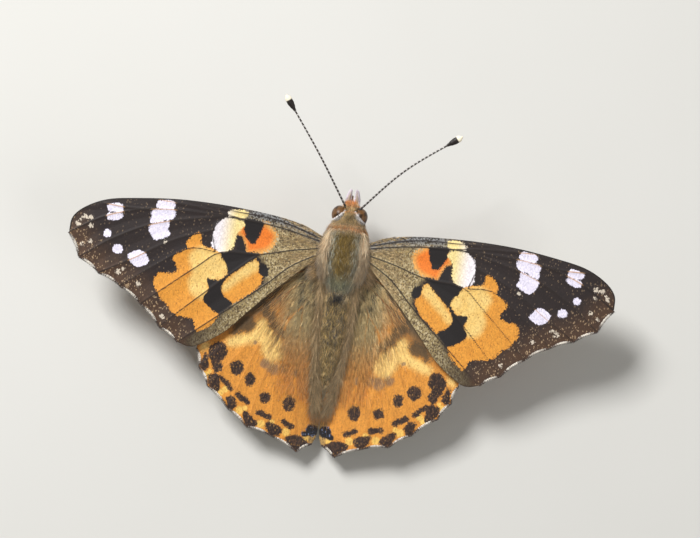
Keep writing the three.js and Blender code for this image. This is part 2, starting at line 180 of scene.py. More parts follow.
def store(piece, name, values):
    """A number or a colour for each point of the mesh."""
    values = np.asarray(values, np.float32)
    kind, key = ("FLOAT", "value") if values.ndim == 1 else ("FLOAT_COLOR", "color")
    piece.data.attributes.new(name, kind, "POINT").data.foreach_set(key, values.ravel())


def unwrap(piece, per_corner):
    """The map that the finish is laid out on, from one place for each face corner."""
    layer = piece.data.uv_layers.new(name="OFBake")
    layer.uv.foreach_set("vector", np.asarray(per_corner, np.float32).ravel())


def corners_of(piece):
    """The point that each face corner of the mesh stands on."""
    corners = np.empty(len(piece.data.loops), np.int32)
    piece.data.loops.foreach_get("vertex_index", corners)
    return corners


class Field:
    """A number or colour that varies over a surface. Arithmetic on it adds Math nodes."""

    def __init__(self, paint, socket):
        self.paint = paint
        self.socket = socket

    def math(self, operation, first, second=0.0):
        """The field that one Math node makes of two numbers or fields."""
        return self.paint.node("ShaderNodeMath", {"operation": operation}, {0: first, 1: second})

    def __add__(self, other):
        return self.math("ADD", self, other)

    def __sub__(self, other):
        return self.math("SUBTRACT", self, other)

    def __rsub__(self, other):
        return self.math("SUBTRACT", other, self)

    def __mul__(self, other):
        return self.math("MULTIPLY", self, other)

    __radd__ = __add__
    __rmul__ = __mul__

    def step(self, low, high):
        """0 below low, 1 above high and a smooth step between them."""
        settings = {"interpolation_type": "SMOOTHSTEP"}
        values = {"Value": self, "From Min": low, "From Max": high}
        return self.paint.node("ShaderNodeMapRange", settings, values)


class Paint:
    """A finish: its node tree, with one method that adds any node."""

    def __init__(self, name, roughness, specular=0.5, sheen=0.0):
        self.material = bpy.data.materials.new(name)
        self.material.use_nodes = True
        self.tree = self.material.node_tree
        self.shader = self.tree.nodes["Principled BSDF"]
        self.shader.inputs["Roughness"].default_value = roughness
        self.shader.inputs["Specular IOR Level"].default_value = specular
        self.shader.inputs["Sheen Weight"].default_value = sheen

    def node(self, kind, settings, values, output=0):
        """Adds a node: its settings first, then its sockets' values or links. Gives one of its outputs."""
        node = self.tree.nodes.new(kind)
        for key, value in settings.items():
            setattr(node, key, value)
        for key, value in values.items():
            if isinstance(value, Field):
                self.tree.links.new(value.socket, node.inputs[key])
            else:
                node.inputs[key].default_value = value
        return Field(self, node.outputs[output])

    def stored(self, name, output="Fac"):
        """A value that the mesh holds at each of its points."""
        return self.node("ShaderNodeAttribute", {"attribute_name": name}, {}, output)

    def place(self, stretch=(1, 1, 1)):
        """Object coordinates, stretched for a pattern that is longer one way."""
        spot = self.node("ShaderNodeTexCoord", {}, {}, "Object")
        return self.node("ShaderNodeMapping", {}, {"Vector": spot, "Scale": stretch})

    def cells(self, size, stretch=(1, 1, 1)):
        """A random number for each cell of about the given size in metres."""
        values = {"Vector": self.place(stretch), "Scale": 1 / size}
        colour = self.node("ShaderNodeTexVoronoi", {}, values, "Color")
        return self.node("ShaderNodeSeparateColor", {}, {"Color": colour})

    def domes(self, size, stretch=(1, 1, 1)):
        """Distance to the middle of the cell, as a share of the cell's size."""
        values = {"Vector": self.place(stretch), "Scale": 1 / size}
        return self.node("ShaderNodeTexVoronoi", {}, values, "Distance")

    def cloud(self, size, detail=3.0, stretch=(1, 1, 1)):
        """A soft noise about 0.5, in clouds of about the given size in metres."""
        values = {"Vector": self.place(stretch), "Scale": 1 / size, "Detail": detail}
        return self.node("ShaderNodeTexNoise", {}, values, "Fac")

    def blend(self, under, over, share):
        """The colour over laid on the colour under, by a share from 0 to 1. Either may be a code."""
        under, over = (tone(colour) if isinstance(colour, str) else colour for colour in (under, over))
        return self.node("ShaderNodeMix", {"data_type": "RGBA"}, {0: share, 6: under, 7: over}, output=2)

    def shade(self, colour, amount):
        """A colour times a number."""
        return self.node("ShaderNodeVectorMath", {"operation": "SCALE"}, {0: colour, "Scale": amount})

    def finish(self, colour, height=None, depth=0.0, strength=0.5):
        """Joins the colour to the shader, with a bump of the given depth in metres from the height."""
        self.tree.links.new(colour.socket, self.shader.inputs["Base Color"])
        if height is not None:
            values = {"Height": height, "Distance": depth, "Strength": strength}
            bump = self.node("ShaderNodeBump", {}, values)
            self.tree.links.new(bump.socket, self.shader.inputs["Normal"])
        return self.material


WING_RISE = 0.125
WING_DROOP = 0.0019
WING_TRAIL = 0.015
MEMBRANE_HALF = 0.05
VEIN_RELIEF = 0.07
VEIN_WIDTH = 0.13
FURROW_DEPTH = 0.12
FURROW_WIDTH = 1.3
SCALLOP_DEPTH = 0.26
EDGE_TAPER = 0.5
EDGE_POINTS = 60
VEIN_POINTS = 30
SCALE_SIZE = 0.00011
SCALE_RELIEF = 0.00002
FOREWING = {
    "lift": -0.12,
    "leading": [
        (1.9, -0.55), (2.9, -0.2), (5.1, 0.72), (8.4, 1.32), (12.4, 1.62), (16.2, 1.72), (20.2, 1.6),
        (24.6, 1.1), (28.2, 0.45), (30.7, -0.75), (32.1, -2.2), (32.3, -4.0),
    ],
    "inner": [
        (1.9, -2.5), (3.6, -3.5), (7.3, -7.1), (10.1, -10.15), (12.6, -13.0), (15.3, -14.95), (16.6, -15.35),
        (17.9, -15.0),
    ],
    "margin": [
        (17.9, -15.0), (20.25, -13.5), (22.8, -11.15), (25.5, -9.4), (28.15, -8.25), (30.7, -6.75),
        (32.3, -4.0),
    ],
    "veins": [
        [(2.4, -0.7), (8, 0.8), (14, 1.2), (19.4, 1.62)],
        [(2.4, -1.0), (8, 0.05), (14, 0.4), (21.6, 0.2), (27.5, -1.2), (32.3, -4.0)],
        [(12, 0.35), (17, 0.95), (23.2, 1.28)],
        [(21.6, 0.2), (25.5, -0.2), (29.4, -0.05)],
        [(14.6, 0.35), (22.1, -1.5), (27, -4.0), (30.7, -6.75)],
        [(15.6, -1.4), (20, -3.2), (24.4, -6.0), (28.15, -8.25)],
        [(15.0, -3.9), (18.0, -3.9), (21.4, -6.2), (25.5, -9.4)],
        [(14.6, 0.35), (15.6, -1.4), (15.0, -3.9)],
        [(2.4, -1.6), (6.1, -2.4), (9.9, -3.45), (14.3, -3.85), (17.0, -6.0), (22.8, -11.15)],
        [(9.9, -3.45), (13.0, -6.3), (17.1, -10.3), (20.25, -13.5)],
        [(2.4, -2.1), (5.9, -4.2), (8.7, -6.9), (12.3, -10.1), (17.9, -15.0)],
    ],
}


def wing_height(u, v):
    """The wings' middle surface: it rises outwards, and less steeply towards the tip."""
    return WING_RISE * u - WING_DROOP * u * u + WING_TRAIL * v


def wing_grid(shape, rows=200, columns=100):
    """The wing seen from above as a grid: straight lines from the leading to the trailing edge, less
    the last one, where the two edges meet. Where the leading edge wraps round the tip, it takes the
    foremost bays of the margin."""
    outer, bay = scalloped(shape["margin"], SCALLOP_DEPTH)
    if shape.get("wraps"):
        split = shape["wraps"] * BAY_STEPS
        front, back = outer[split:], outer[: split + 1]
        leading = spline(np.vstack([spline(shape["leading"], EDGE_POINTS)[:-1], front[::-1]]), rows)
    else:
        back = outer
        leading = spline(shape["leading"], rows)
    trailing = spline(np.vstack([spline(shape["inner"], EDGE_POINTS)[:-1], back]), rows)
    share = np.linspace(0, 1, columns)[None, :, None]
    grid = leading[:, None] * (1 - share) + trailing[:, None] * share
    return grid[:-1], outer, bay


def wing_piece(name, shape, height, side, fields):
    """A wing as a thin closed shell: the grid at half a membrane above and below the middle surface,
    raised along the veins and let down between them, with a rim round the edge."""
    grid = shape["grid"][0]
    rows, columns = grid.shape[:2]
    places = grid.reshape(-1, 2)
    ridge = VEIN_RELIEF * np.exp(-((fields["vein"] / VEIN_WIDTH) ** 2))
    furrow = FURROW_DEPTH * (1 - np.exp(-((fields["vein"] / FURROW_WIDTH) ** 2)))
    edge = np.clip(fields["edge"] / EDGE_TAPER, 0.25, 1)
    middle = height(*places.T) + shape["lift"] - furrow * edge
    sheets = []
    for up in (1, -1):
        w = middle + up * (MEMBRANE_HALF + ridge) * edge
        sheets.append(np.column_stack([side * places[:, 0], places[:, 1], w]))
    n = rows * columns
    number = np.arange(n).reshape(rows, columns)
    quads = np.stack([number[:-1, :-1], number[1:, :-1], number[1:, 1:], number[:-1, 1:]], -1).reshape(-1, 4)
    ring = np.concatenate([number[0, :-1], number[:-1, -1], number[-1, :0:-1], number[:0:-1, 0]])
    rim = np.stack([ring, np.roll(ring, -1), np.roll(ring, -1) + n, ring + n], -1)
    top, under = (quads, quads[:, ::-1] + n) if side < 0 else (quads[:, ::-1], quads + n)
    rim = rim if side < 0 else rim[:, ::-1]
    piece = build_mesh(name, stance(np.vstack(sheets)), [top, under, rim])
    finish = np.concatenate([np.zeros(len(top)), np.ones(len(under)), np.zeros(len(rim))])
    piece.data.polygons.foreach_set("material_index", finish.astype(np.int32))
    for key, values in fields.items():
        store(piece, key, np.tile(values, 2))
    low, size = places.min(0), np.ptp(places, 0)
    spot = (places - low) / size * (0.96, 0.46) + (0.02, 0.02)
    corners = corners_of(piece)
    laid = np.vstack([spot, spot + (0, 0.5)])[corners]
    first_rim = 4 * (len(top) + len(under))
    laid[first_rim:] = spot[corners[first_rim:] % n]
    unwrap(piece, laid)
    return piece


FOREWING["grid"] = wing_grid(FOREWING)
places = FOREWING["grid"][0].reshape(-1, 2)
WHITE_MARKS = [
    [(22.4, 1.06), (20.7, 1.31), (20.56, 0.4), (22.32, 0.23)],
    [(22.92, -0.07), (20.38, 0.3), (20.44, -0.71), (21.65, -1.16), (22.97, -1.61), (23.01, -0.87)],
    [
        (23.11, -2.1), (22.24, -1.5), (20.92, -1.1), (20.84, -2.04), (20.58, -2.7), (21.75, -3.41),
        (22.5, -3.35),
    ],
    [(28.2, -0.25), (26.61, 0.09), (26.43, -0.9), (27.4, -0.95), (28.0, -0.95)],
    [(27.9, -1.15), (26.45, -1.0), (26.35, -1.5), (27.38, -1.95), (28.05, -1.75)],
    [
        (24.95, -5.51), (23.75, -4.95), (22.94, -5.43), (22.61, -6.23), (23.58, -6.9), (24.57, -6.62),
        (24.97, -6.04),
    ],
]
CREAM_MARKS = [
    [
        (15.54, -1.59), (15.28, -0.49), (14.42, 0.17), (13.17, 0.35), (12.28, 0.06), (12.1, -0.45),
        (12.81, -1.4), (12.86, -2.47), (13.17, -3.26), (13.85, -3.72), (14.69, -3.76), (15.5, -3.28),
        (15.52, -2.43),
    ],
    [(13.84, 1.31), (11.93, 1.32), (12.23, 0.49), (14.03, 0.44)],
]
ORANGE_MARKS = [
    [
        (18.49, -3.19), (17.68, -2.22), (16.96, -2.01), (16.67, -3.28), (15.37, -3.47), (14.24, -3.95),
        (13.4, -5.31), (13.07, -6.11), (13.59, -6.93), (14.82, -7.22), (15.54, -7.0), (15.27, -7.81),
        (15.09, -8.32), (15.56, -9.45), (15.02, -10.22), (13.64, -10.97), (14.1, -12.2), (15.71, -13.5),
        (16.11, -12.92), (16.65, -12.15), (18.39, -11.88), (19.3, -11.48), (19.84, -10.71), (20.79, -10.0),
        (21.65, -8.42), (21.18, -7.29), (19.94, -7.11), (19.16, -6.57), (19.76, -5.39), (19.44, -4.7),
        (18.37, -4.02),
    ],
    [
        (13.8, -7.7), (12.84, -6.29), (10.96, -4.63), (10.2, -3.99), (9.66, -4.76), (9.54, -5.6),
        (9.05, -6.05), (9.51, -7.29), (11.18, -8.91), (12.24, -9.64), (13.04, -9.29), (13.54, -8.73),
    ],
]
RED_MARK = [
    (12.28, 0.06), (9.89, 0.4), (8.62, -0.26), (8.1, -0.93), (8.26, -2.01), (8.88, -2.85), (10.08, -3.38),
    (11.43, -3.58), (12.06, -2.14), (12.81, -1.4),
]
BLACK_MARKS = [
    [
        (12.2, 0.28), (11.51, 0.59), (9.89, 0.4), (9.81, -0.11), (10.33, -1.68), (10.46, -2.23),
        (11.32, -2.14), (12.01, -1.07),
    ],
    [
        (12.85, -1.83), (12.26, -1.53), (11.82, -2.32), (11.51, -3.02), (11.5, -3.8), (12.7, -3.9),
        (12.59, -2.86),
    ],
    [(14.26, -3.84), (9.87, -3.31), (11.0, -4.32), (13.04, -6.32), (13.4, -5.31)],
    [
        (15.48, -7.35), (14.82, -7.22), (14.17, -7.33), (13.8, -6.96), (13.07, -6.11), (13.78, -7.81),
        (13.3, -8.9), (12.25, -9.6), (13.64, -10.97), (15.02, -10.22), (15.68, -9.36), (15.06, -8.52),
        (15.25, -7.92),
    ],
    [(9.59, -4.54), (8.83, -4.64), (8.5, -5.44), (8.86, -5.92), (9.54, -5.6)],
]
KHAKI_REGION = [
    (12.14, 2.21), (11.42, -3.51), (9.89, -3.41), (8.8, -6.81), (12.19, -9.68), (14.21, -12.12),
    (16.55, -14.01), (16.83, -15.36), (12.31, -14.58), (1.94, -4.15), (1.0, 0.0), (3.04, 3.42),
]
FAINT_MARKS = [
    (29.89, -2.93, 0.42), (29.63, -4.7, 0.4), (26.0, -7.78, 0.5), (23.37, -9.0, 0.45), (31.4, -2.9, 0.45),
    (30.67, -1.99, 0.45), (29.92, -1.9, 0.5), (21.0, -3.6, 0.35), (20.1, -12.3, 0.4), (31.1, -2.4, 0.35),
    (25.4, -7.4, 0.35), (30.6, -5.3, 0.4),
]
PALE_AREAS = [
    [
        (17.9, -4.7), (16.8, -3.6), (15.2, -3.9), (14.1, -4.2), (13.4, -5.0), (13.1, -5.9), (13.7, -6.8),
        (14.7, -7.3), (15.4, -8.1), (15.2, -8.6), (15.7, -9.5), (16.9, -9.3), (17.4, -8.5), (17.6, -7.6),
        (17.3, -6.7), (17.6, -5.7),
    ],
    [
        (10.4, -4.1), (9.7, -4.8), (10.0, -5.4), (11.9, -7.0), (13.3, -8.3), (13.7, -7.9), (13.2, -7.1),
        (11.7, -5.4),
    ],
]


def nearest(places, lines):
    """Distance to the nearest of some veins, each a smooth curve through its places."""
    return np.min([distance_to(places, spline(line, VEIN_POINTS)) for line in lines], axis=0)


def marks(places, outlines):
    """Distance to the nearest outline of some markings, positive inside any of them."""
    return np.max([patch(places, outline) for outline in outlines], axis=0)


round_whites = [dot(places, (27.83, -3.55), 0.46, 0.46), dot(places, (26.37, -5.2), 0.58, 0.54)]
forewing_edge = distance_to(places, np.vstack([FOREWING["grid"][0][:, 0], FOREWING["grid"][1][::-1]]))
FOREWING_FIELDS = {
    "vein": nearest(places, FOREWING["veins"]),
    "edge": np.minimum(forewing_edge, distance_to(places, spline(FOREWING["inner"], EDGE_POINTS))),
    "outer_edge": distance_to(places, FOREWING["grid"][1]),
    "costa": distance_to(places, spline(FOREWING["leading"], EDGE_POINTS)),
    "white": np.max([marks(places, WHITE_MARKS), *round_whites], axis=0),
    "cream": marks(places, CREAM_MARKS),
    "orange": marks(places, ORANGE_MARKS),
    "red": patch(places, RED_MARK),
    "black": marks(places, BLACK_MARKS),
    "khaki": patch(places, KHAKI_REGION),
    "faint": glow(places, FAINT_MARKS),
    "buff": marks(places, PALE_AREAS),
    "reach": places[:, 0] / 32.3,
}


def scale_ground(paint):
    """The rows of scales: a random number for each scale, a raggedness for the edges of the markings,
    and a height for the bump."""
    scale = paint.cells(SCALE_SIZE, (1, 0.62, 1))
    ragged = (scale - 0.5) * 0.3 + (paint.cloud(0.0006) - 0.5) * 0.5
    height = 1 - paint.domes(SCALE_SIZE, (1, 0.62, 1))
    return scale, ragged, height


def marking_layer(paint, field, ragged, usual_blur):
    """A way to lay a colour where a marking is, with an edge as blurred and as ragged as is asked."""

    def over(under, colour, name, blur=usual_blur, ragging=1.0):
        return paint.blend(under, colour, (field[name] + ragged * ragging).step(-blur, blur))

    return over


def forewing_upper():
    """From the bottom up: dark brown ground, khaki base, orange, red, black, cream and white scales."""
    paint = Paint("forewing_upper", roughness=0.62, specular=0.35, sheen=0.25)
    scale, ragged, height = scale_ground(paint)
    field = {key: paint.stored(key) for key in FOREWING_FIELDS}
    over = marking_layer(paint, field, ragged, 0.05)
    shore = 1 - field["outer_edge"].step(0.3, 4.0)
    dark = paint.blend("1a1214", "4a3322", (shore + 0.12) * (0.25 + paint.cloud(0.0009) * 1.1))
    flecks = (scale + shore * 0.06 + (paint.cloud(0.0014) - 0.5) * 0.3).step(0.93, 1.02)
    dark = paint.blend(dark, "a08768", flecks * (0.35 + shore * 0.5))
    khaki = paint.blend("9c885c", "54452f", scale.step(0.5, 0.85))
    khaki = paint.blend(khaki, "dccaa0", (1 - scale.step(0.08, 0.36)) * 0.8)
    costal = (1 - field["costa"].step(0.35, 1.9)) * (1 - field["reach"].step(0.33, 0.45))
    greyish = paint.blend("7e8186", "1d1a1d", scale.step(0.4, 0.6))
    khaki = paint.blend(khaki, greyish, costal * 0.9)
    khaki = paint.blend(khaki, "2e2015", field["reach"].step(0.30, 0.52) * 0.85)
    ochre = paint.blend("dd9a3a", "cf8529", paint.cloud(0.0008))
    pale = paint.blend("ecd087", "e0b45c", paint.cloud(0.0009))
    orange = paint.blend(ochre, pale, (field["buff"] + ragged * 0.5).step(-0.5, 0.4) * 0.9)
    orange = paint.blend(orange, "7a4a18", scale.step(0.90, 0.97) * 0.6)
    colour = over(dark, khaki, "khaki", 0.35, 2.2)
    colour = over(colour, orange, "orange", 0.06, 0.8)
    red = paint.blend("dd7420", "d99a4c", field["red"].step(0.8, 0.1))
    colour = over(colour, red, "red", 0.12, 1.3)
    colour = over(colour, "130c0c", "black", 0.07, 0.8)
    cell = paint.blend("e6cf8c", "e6dfe4", field["reach"].step(0.395, 0.47))
    colour = over(colour, cell, "cream", 0.07, 0.6)
    vein = 1 - field["vein"].step(0.04, 0.12)
    colour = paint.blend(colour, "1d120c", vein * 0.9)
    colour = over(colour, "dfd9ea", "white", 0.05, 0.45)
    colour = paint.blend(colour, "b98e62", vein * field["white"].step(-0.3, 0.1) * 0.8)
    faint = (field["faint"] + ragged * 1.6).step(0.62, 0.85)
    colour = paint.blend(colour, "d8cbb8", faint * 0.8)
    rib = (1 - field["costa"].step(0.08, 0.2)) * field["reach"].step(0.3, 0.5)
    colour = paint.blend(colour, "1a120e", rib)
    colour = paint.shade(colour, 0.82 + scale * 0.34)
    return paint.finish(colour, height, SCALE_RELIEF)


def forewing_under():
    """The underside: rosy orange towards the base, black and white marks as above, and an apex of buff
    and olive clouds."""
    paint = Paint("forewing_under", roughness=0.68, specular=0.3, sheen=0.25)
    scale, ragged, height = scale_ground(paint)
    field = {key: paint.stored(key) for key in FOREWING_FIELDS}
    over = marking_layer(paint, field, ragged, 0.06)
    clouds = paint.cloud(0.0022, 2.0)
    apex = paint.blend("8e7b57", "cdbf9f", (clouds + (scale - 0.5) * 0.15).step(0.45, 0.6))
    apex = paint.blend(apex, "5c4a38", (1 - field["outer_edge"].step(0.5, 1.1)) * 0.6)
    brown = paint.blend("3a2a22", apex, (field["reach"] + ragged * 0.05).step(0.66, 0.78))
    rosy = paint.blend("cf7d4d", "d99a62", clouds)
    colour = over(brown, rosy, "khaki", 0.4, 2.0)
    warm = paint.blend("d9824a", "e8c78d", field["buff"].step(-0.4, 0.4))
    colour = over(colour, warm, "orange")
    colour = over(colour, "cc6238", "red", 0.12, 1.3)
    colour = over(colour, "2a1c19", "black", 0.08, 1.2)
    colour = over(colour, "efe6d2", "cream")
    colour = over(colour, "efeaea", "white")
    colour = paint.blend(colour, "b9a98c", (1 - field["costa"].step(0.15, 0.5)) * 0.8)
    vein = 1 - field["vein"].step(0.04, 0.13)
    colour = paint.blend(colour, "d8c29a", vein * 0.7)
    colour = paint.shade(colour, 0.86 + scale * 0.26)
    return paint.finish(colour, height, SCALE_RELIEF)


upper, under = forewing_upper(), forewing_under()
for name, side in SIDES.items():
    piece = wing_piece(f"forewing_skin_{name}", FOREWING, wing_height, side, FOREWING_FIELDS)
    piece.data.materials.append(upper)
    piece.data.materials.append(under)
    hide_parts(f"forewing_{name}")
    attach(piece, "root")

# Hindwings. Each is a thin scaled membrane like the forewing, hinged behind it. Its inner edge folds
# down beside the abdomen as a trough. Its upper face is orange with dark spots, its underside marbled.
HINDWING_DROP = 1.1
INNER_FOLD_DROP = 1.2
INNER_FOLD_WIDTH = 4.5
HINDWING = {
    "lift": 0.14,
    "wraps": 4,
    "leading": [
        (1.7, -2.9), (2.8, -2.75), (5.2, -3.3), (8.6, -5.3), (11.8, -8.2), (14.3, -11.4), (15.55, -14.2),
        (15.6, -15.4),
    ],
    "inner": [
        (1.7, -6.2), (2.0, -8.0), (2.0, -11.2), (1.6, -14.6), (0.75, -17.2), (0.14, -19.2), (0.1, -23.4),
        (0.55, -24.9),
    ],
    "margin": [
        (0.55, -24.9), (2.25, -26.0), (5.5, -24.45), (8.5, -23.8), (11.0, -21.95), (13.7, -19.65),
        (15.0, -17.6), (15.6, -15.4),
    ],
    "veins": [
        [(2.2, -4.0), (6.5, -5.6), (11.4, -10.2), (15.6, -15.4)],
        [(2.2, -4.6), (5.6, -7.0), (10.4, -12.0), (15.0, -17.6)],
        [(5.6, -7.0), (9.3, -13.5), (13.7, -19.65)],
        [(6.7, -9.6), (8.9, -15.6), (11.0, -21.95)],
        [(5.7, -11.6), (7.2, -17.5), (8.5, -23.8)],
        [(2.2, -5.2), (3.9, -8.6), (5.7, -11.6), (5.9, -18), (5.5, -24.45)],
        [(3.9, -8.6), (3.7, -16), (2.25, -26.0)],
    ],
}


def hindwing_height(u, v):
    """Below the forewing, with the inner edge folded down as the square of the way into the fold."""
    fold = np.maximum(0, 1 - u / INNER_FOLD_WIDTH)
    return wing_height(u, v) - HINDWING_DROP - INNER_FOLD_DROP * fold * fold


def outline_of(shape):
    """The wing's edge: out along the leading edge of its grid and back along the trailing one."""
    grid = shape["grid"][0]
    return np.vstack([grid[:, 0], grid[::-1, -1]])


HINDWING["grid"] = wing_grid(HINDWING)
places = HINDWING["grid"][0].reshape(-1, 2)
DARK_PATCHES = [
    [
        (14.09, -15.09), (13.12, -14.22), (12.34, -14.59), (12.02, -15.15), (12.05, -15.76), (12.54, -16.56),
        (12.21, -17.12), (12.48, -17.77), (12.98, -18.08), (13.44, -17.42), (13.88, -16.52), (14.1, -15.82),
    ],
    [(14.48, -15.75), (14.04, -16.66), (13.9, -17.25), (14.28, -17.91), (14.85, -17.75), (14.91, -16.91)],
]
OLIVE_BARS = [
    [
        (11.9, -12.9), (11.2, -11.3), (9.69, -10.9), (9.11, -11.82), (9.5, -12.48), (9.94, -12.79),
        (10.7, -12.73), (11.3, -13.3),
    ],
    [
        (8.79, -9.83), (8.25, -9.2), (7.47, -9.5), (6.48, -10.71), (5.6, -12.15), (5.6, -13.0), (6.2, -12.61),
        (7.02, -12.0), (7.65, -11.85), (7.61, -11.23), (8.31, -10.61),
    ],
]
EYE_SPOTS = [
    (10.59, -17.07, 0.86, 0.86), (8.86, -18.23, 0.62, 0.78), (6.77, -20.13, 0.66, 0.68),
    (3.89, -20.46, 0.74, 0.94),
]
LUNULES = [
    ((12.3, -18.5), (10.95, -19.6), 0.3), ((10.0, -20.2), (8.85, -20.95), 0.36),
    ((7.3, -21.98), (6.1, -22.3), 0.36), ((4.3, -22.65), (3.2, -23.15), 0.34),
]
MARGIN_PATCHES = [
    [(13.8, -18.4), (12.6, -18.2), (12.2, -19.7), (12.7, -20.5), (13.6, -19.6)],
    [(11.4, -20.7), (10.4, -20.6), (10.0, -21.6), (10.8, -22.3)],
    [(9.2, -22.0), (7.9, -22.6), (7.3, -23.5), (8.5, -23.9)],
    [(6.3, -23.0), (4.7, -23.2), (4.2, -24.0), (5.5, -24.6)],
    [(3.9, -24.4), (2.2, -24.1), (0.9, -25.0), (2.1, -26.1), (3.2, -25.5)],
]
PALE_PATCHES = [
    [
        (12.2, -13.9), (11.3, -13.3), (9.9, -12.9), (9.2, -12.2), (8.9, -11.2), (8.1, -10.9), (7.4, -11.8),
        (6.0, -13.0), (5.3, -13.8), (5.3, -14.8), (6.0, -15.6), (7.1, -15.8), (7.9, -14.8), (8.4, -13.8),
        (9.4, -14.0), (10.9, -14.5), (12.0, -14.6),
    ],
    [(15.2, -14.8), (14.4, -14.5), (14.3, -15.2), (15.0, -15.6)],
]
MARGIN_GLOWS = [
    (14.0, -18.3, 0.4), (12.1, -20.2, 0.5), (11.6, -19.8, 0.5), (9.6, -22.0, 0.6), (6.9, -23.3, 0.6),
    (3.8, -23.9, 0.6), (1.3, -24.3, 0.5), (13.7, -17.9, 0.3), (9.0, -21.7, 0.4), (5.6, -22.9, 0.4),
]
SMUDGES = [(6.3, -16.6, 0.95), (7.4, -16.1, 0.75), (8.88, -13.79, 0.3), (5.2, -16.4, 0.8), (3.6, -16.7, 0.6)]
UNDER_EYES = [
    (12.7, -15.5, 0.55), (10.59, -17.07, 0.98), (8.86, -18.4, 0.55), (6.77, -20.0, 0.6), (3.89, -20.3, 1.08),
]
spots = [dot(places, (u, v), across, along) for u, v, across, along in EYE_SPOTS]
lunules = [stroke(places, start, end, half) for start, end, half in LUNULES]
HINDWING_FIELDS = {
    "vein": nearest(places, HINDWING["veins"]),
    "edge": distance_to(places, outline_of(HINDWING)),
    "outer_edge": distance_to(places, HINDWING["grid"][1]),
    "dark": np.max([marks(places, DARK_PATCHES + MARGIN_PATCHES), *spots, *lunules], axis=0),
    "olive": marks(places, OLIVE_BARS),
    "yellow": marks(places, PALE_PATCHES),
    "margin_buff": glow(places, MARGIN_GLOWS),
    "smudge": glow(places, SMUDGES),
    "blue_black": np.maximum(dot(places, (0.8, -23.3), 0.75, 0.75), dot(places, (1.5, -23.8), 0.5, 0.35)),
    "inward": np.maximum(
        (1 - soft(places[:, 0] + 0.12 * (places[:, 1] + 14), 2.0, 7.0)) * soft(places[:, 1], -18.5, -14.5),
        1 - soft(places[:, 0], 0.5, 1.5),
    ),
    "front": -places[:, 1] - places[:, 0] * 0.55,
    "eye": np.min([np.hypot(*(places - (u, v)).T) / size for u, v, size in UNDER_EYES], axis=0),
}


def hindwing_upper():
    """Orange with yellow-buff clouds, olive hair scales towards the body, and dark brown spots."""
    paint = Paint("hindwing_upper", roughness=0.62, specular=0.35, sheen=0.25)
    scale, ragged, height = scale_ground(paint)
    field = {key: paint.stored(key) for key in HINDWING_FIELDS}
    orange = paint.blend("d8933b", "cb832c", paint.cloud(0.0009))
    orange = paint.blend(orange, "ebc676", (field["yellow"] + ragged * 0.8).step(-0.5, 0.5) * 0.95)
    orange = paint.blend(orange, "e4b659", (field["margin_buff"] + ragged * 0.5).step(0.35, 0.7))
    orange = paint.blend(orange, "7d4f1c", scale.step(0.90, 0.98) * 0.55)
    haired = paint.blend("ad8d55", "6f5c36", scale.step(0.4, 0.85))
    colour = paint.blend(orange, haired, (field["inward"] + ragged * 0.4).step(0.15, 0.8) * 0.9)
    colour = paint.blend(colour, "5b4a33", field["front"].step(7.4, 4.4))
    vein = 1 - field["vein"].step(0.03, 0.12)
    colour = paint.blend(colour, "a5641a", vein * 0.45)
    colour = paint.blend(colour, "4d3d26", (field["olive"] + ragged * 1.4).step(-0.3, 0.3) * 0.92)
    colour = paint.blend(colour, "6d5a49", (field["smudge"] + ragged * 0.9).step(0.3, 0.8) * 0.75)
    spot = (field["dark"] + ragged * 0.85).step(-0.06, 0.06)
    spotted = paint.blend("2a1a14", "4d3524", scale.step(0.45, 0.9))
    spotted = paint.blend(spotted, "a87c3c", scale.step(0.93, 0.97) * 0.45)
    colour = paint.blend(colour, spotted, spot)
    # Painted light and shade of fine lengthwise pleats: a long stretched noise whose streaks lighten and
    # darken the colour.
    painted_pleat_shade = paint.cloud(0.00028, 2.0, (1, 0.05, 1))
    corner = paint.blend("0f0c14", "66708e", scale.step(0.86, 0.92))
    colour = paint.blend(colour, corner, (field["blue_black"] + ragged * 0.4).step(-0.08, 0.08))
    # Each scale's own lightness, and the painted shade and light of the pleats, scale the colour.
    colour = paint.shade(colour, 0.56 + scale * 0.3 + painted_pleat_shade * 0.56)
    return paint.finish(colour, height, SCALE_RELIEF)


def hindwing_under():
    """Marbled olive and cream with pale veins, ringed eye spots and a grey-blue line near the edge."""
    paint = Paint("hindwing_under", roughness=0.68, specular=0.3, sheen=0.25)
    scale, ragged, height = scale_ground(paint)
    field = {key: paint.stored(key) for key in HINDWING_FIELDS}
    clouds = paint.cloud(0.0026, 1.5) + ragged * 0.08
    colour = paint.blend("8a7650", "a8946a", paint.cloud(0.0012))
    colour = paint.blend(colour, "5e4c34", clouds.step(0.46, 0.40))
    colour = paint.blend(colour, "e4dcc6", clouds.step(0.54, 0.60))
    inset = field["outer_edge"] + ragged * 0.4
    band = inset.step(3.2, 3.6) * (1 - inset.step(4.4, 5.0))
    colour = paint.blend(colour, "e9e2cf", band * 0.75)
    rim = 1 - (field["outer_edge"] + ragged * 0.3).step(1.5, 1.8)
    colour = paint.blend(colour, "c9b184", rim)
    inset = field["outer_edge"] + ragged * 0.2
    line = inset.step(0.75, 0.85) * (1 - inset.step(1.1, 1.2))
    colour = paint.blend(colour, "7f87a0", line * 0.8)
    colour = paint.blend(colour, "efe8d6", (1 - field["vein"].step(0.08, 0.16)) * 0.85)
    ring = field["eye"] + ragged * 0.3
    colour = paint.blend(colour, "3b2c20", 1 - ring.step(1.0, 1.06))
    colour = paint.blend(colour, "cfa75c", 1 - ring.step(0.84, 0.9))
    colour = paint.blend(colour, "1f1a1a", 1 - ring.step(0.58, 0.64))
    colour = paint.blend(colour, "5d7388", 1 - ring.step(0.26, 0.4))
    colour = paint.blend(colour, "cdbd98", field["inward"].step(0.75, 1.0) * 0.8)
    colour = paint.shade(colour, 0.86 + scale * 0.26)
    return paint.finish(colour, height, SCALE_RELIEF)


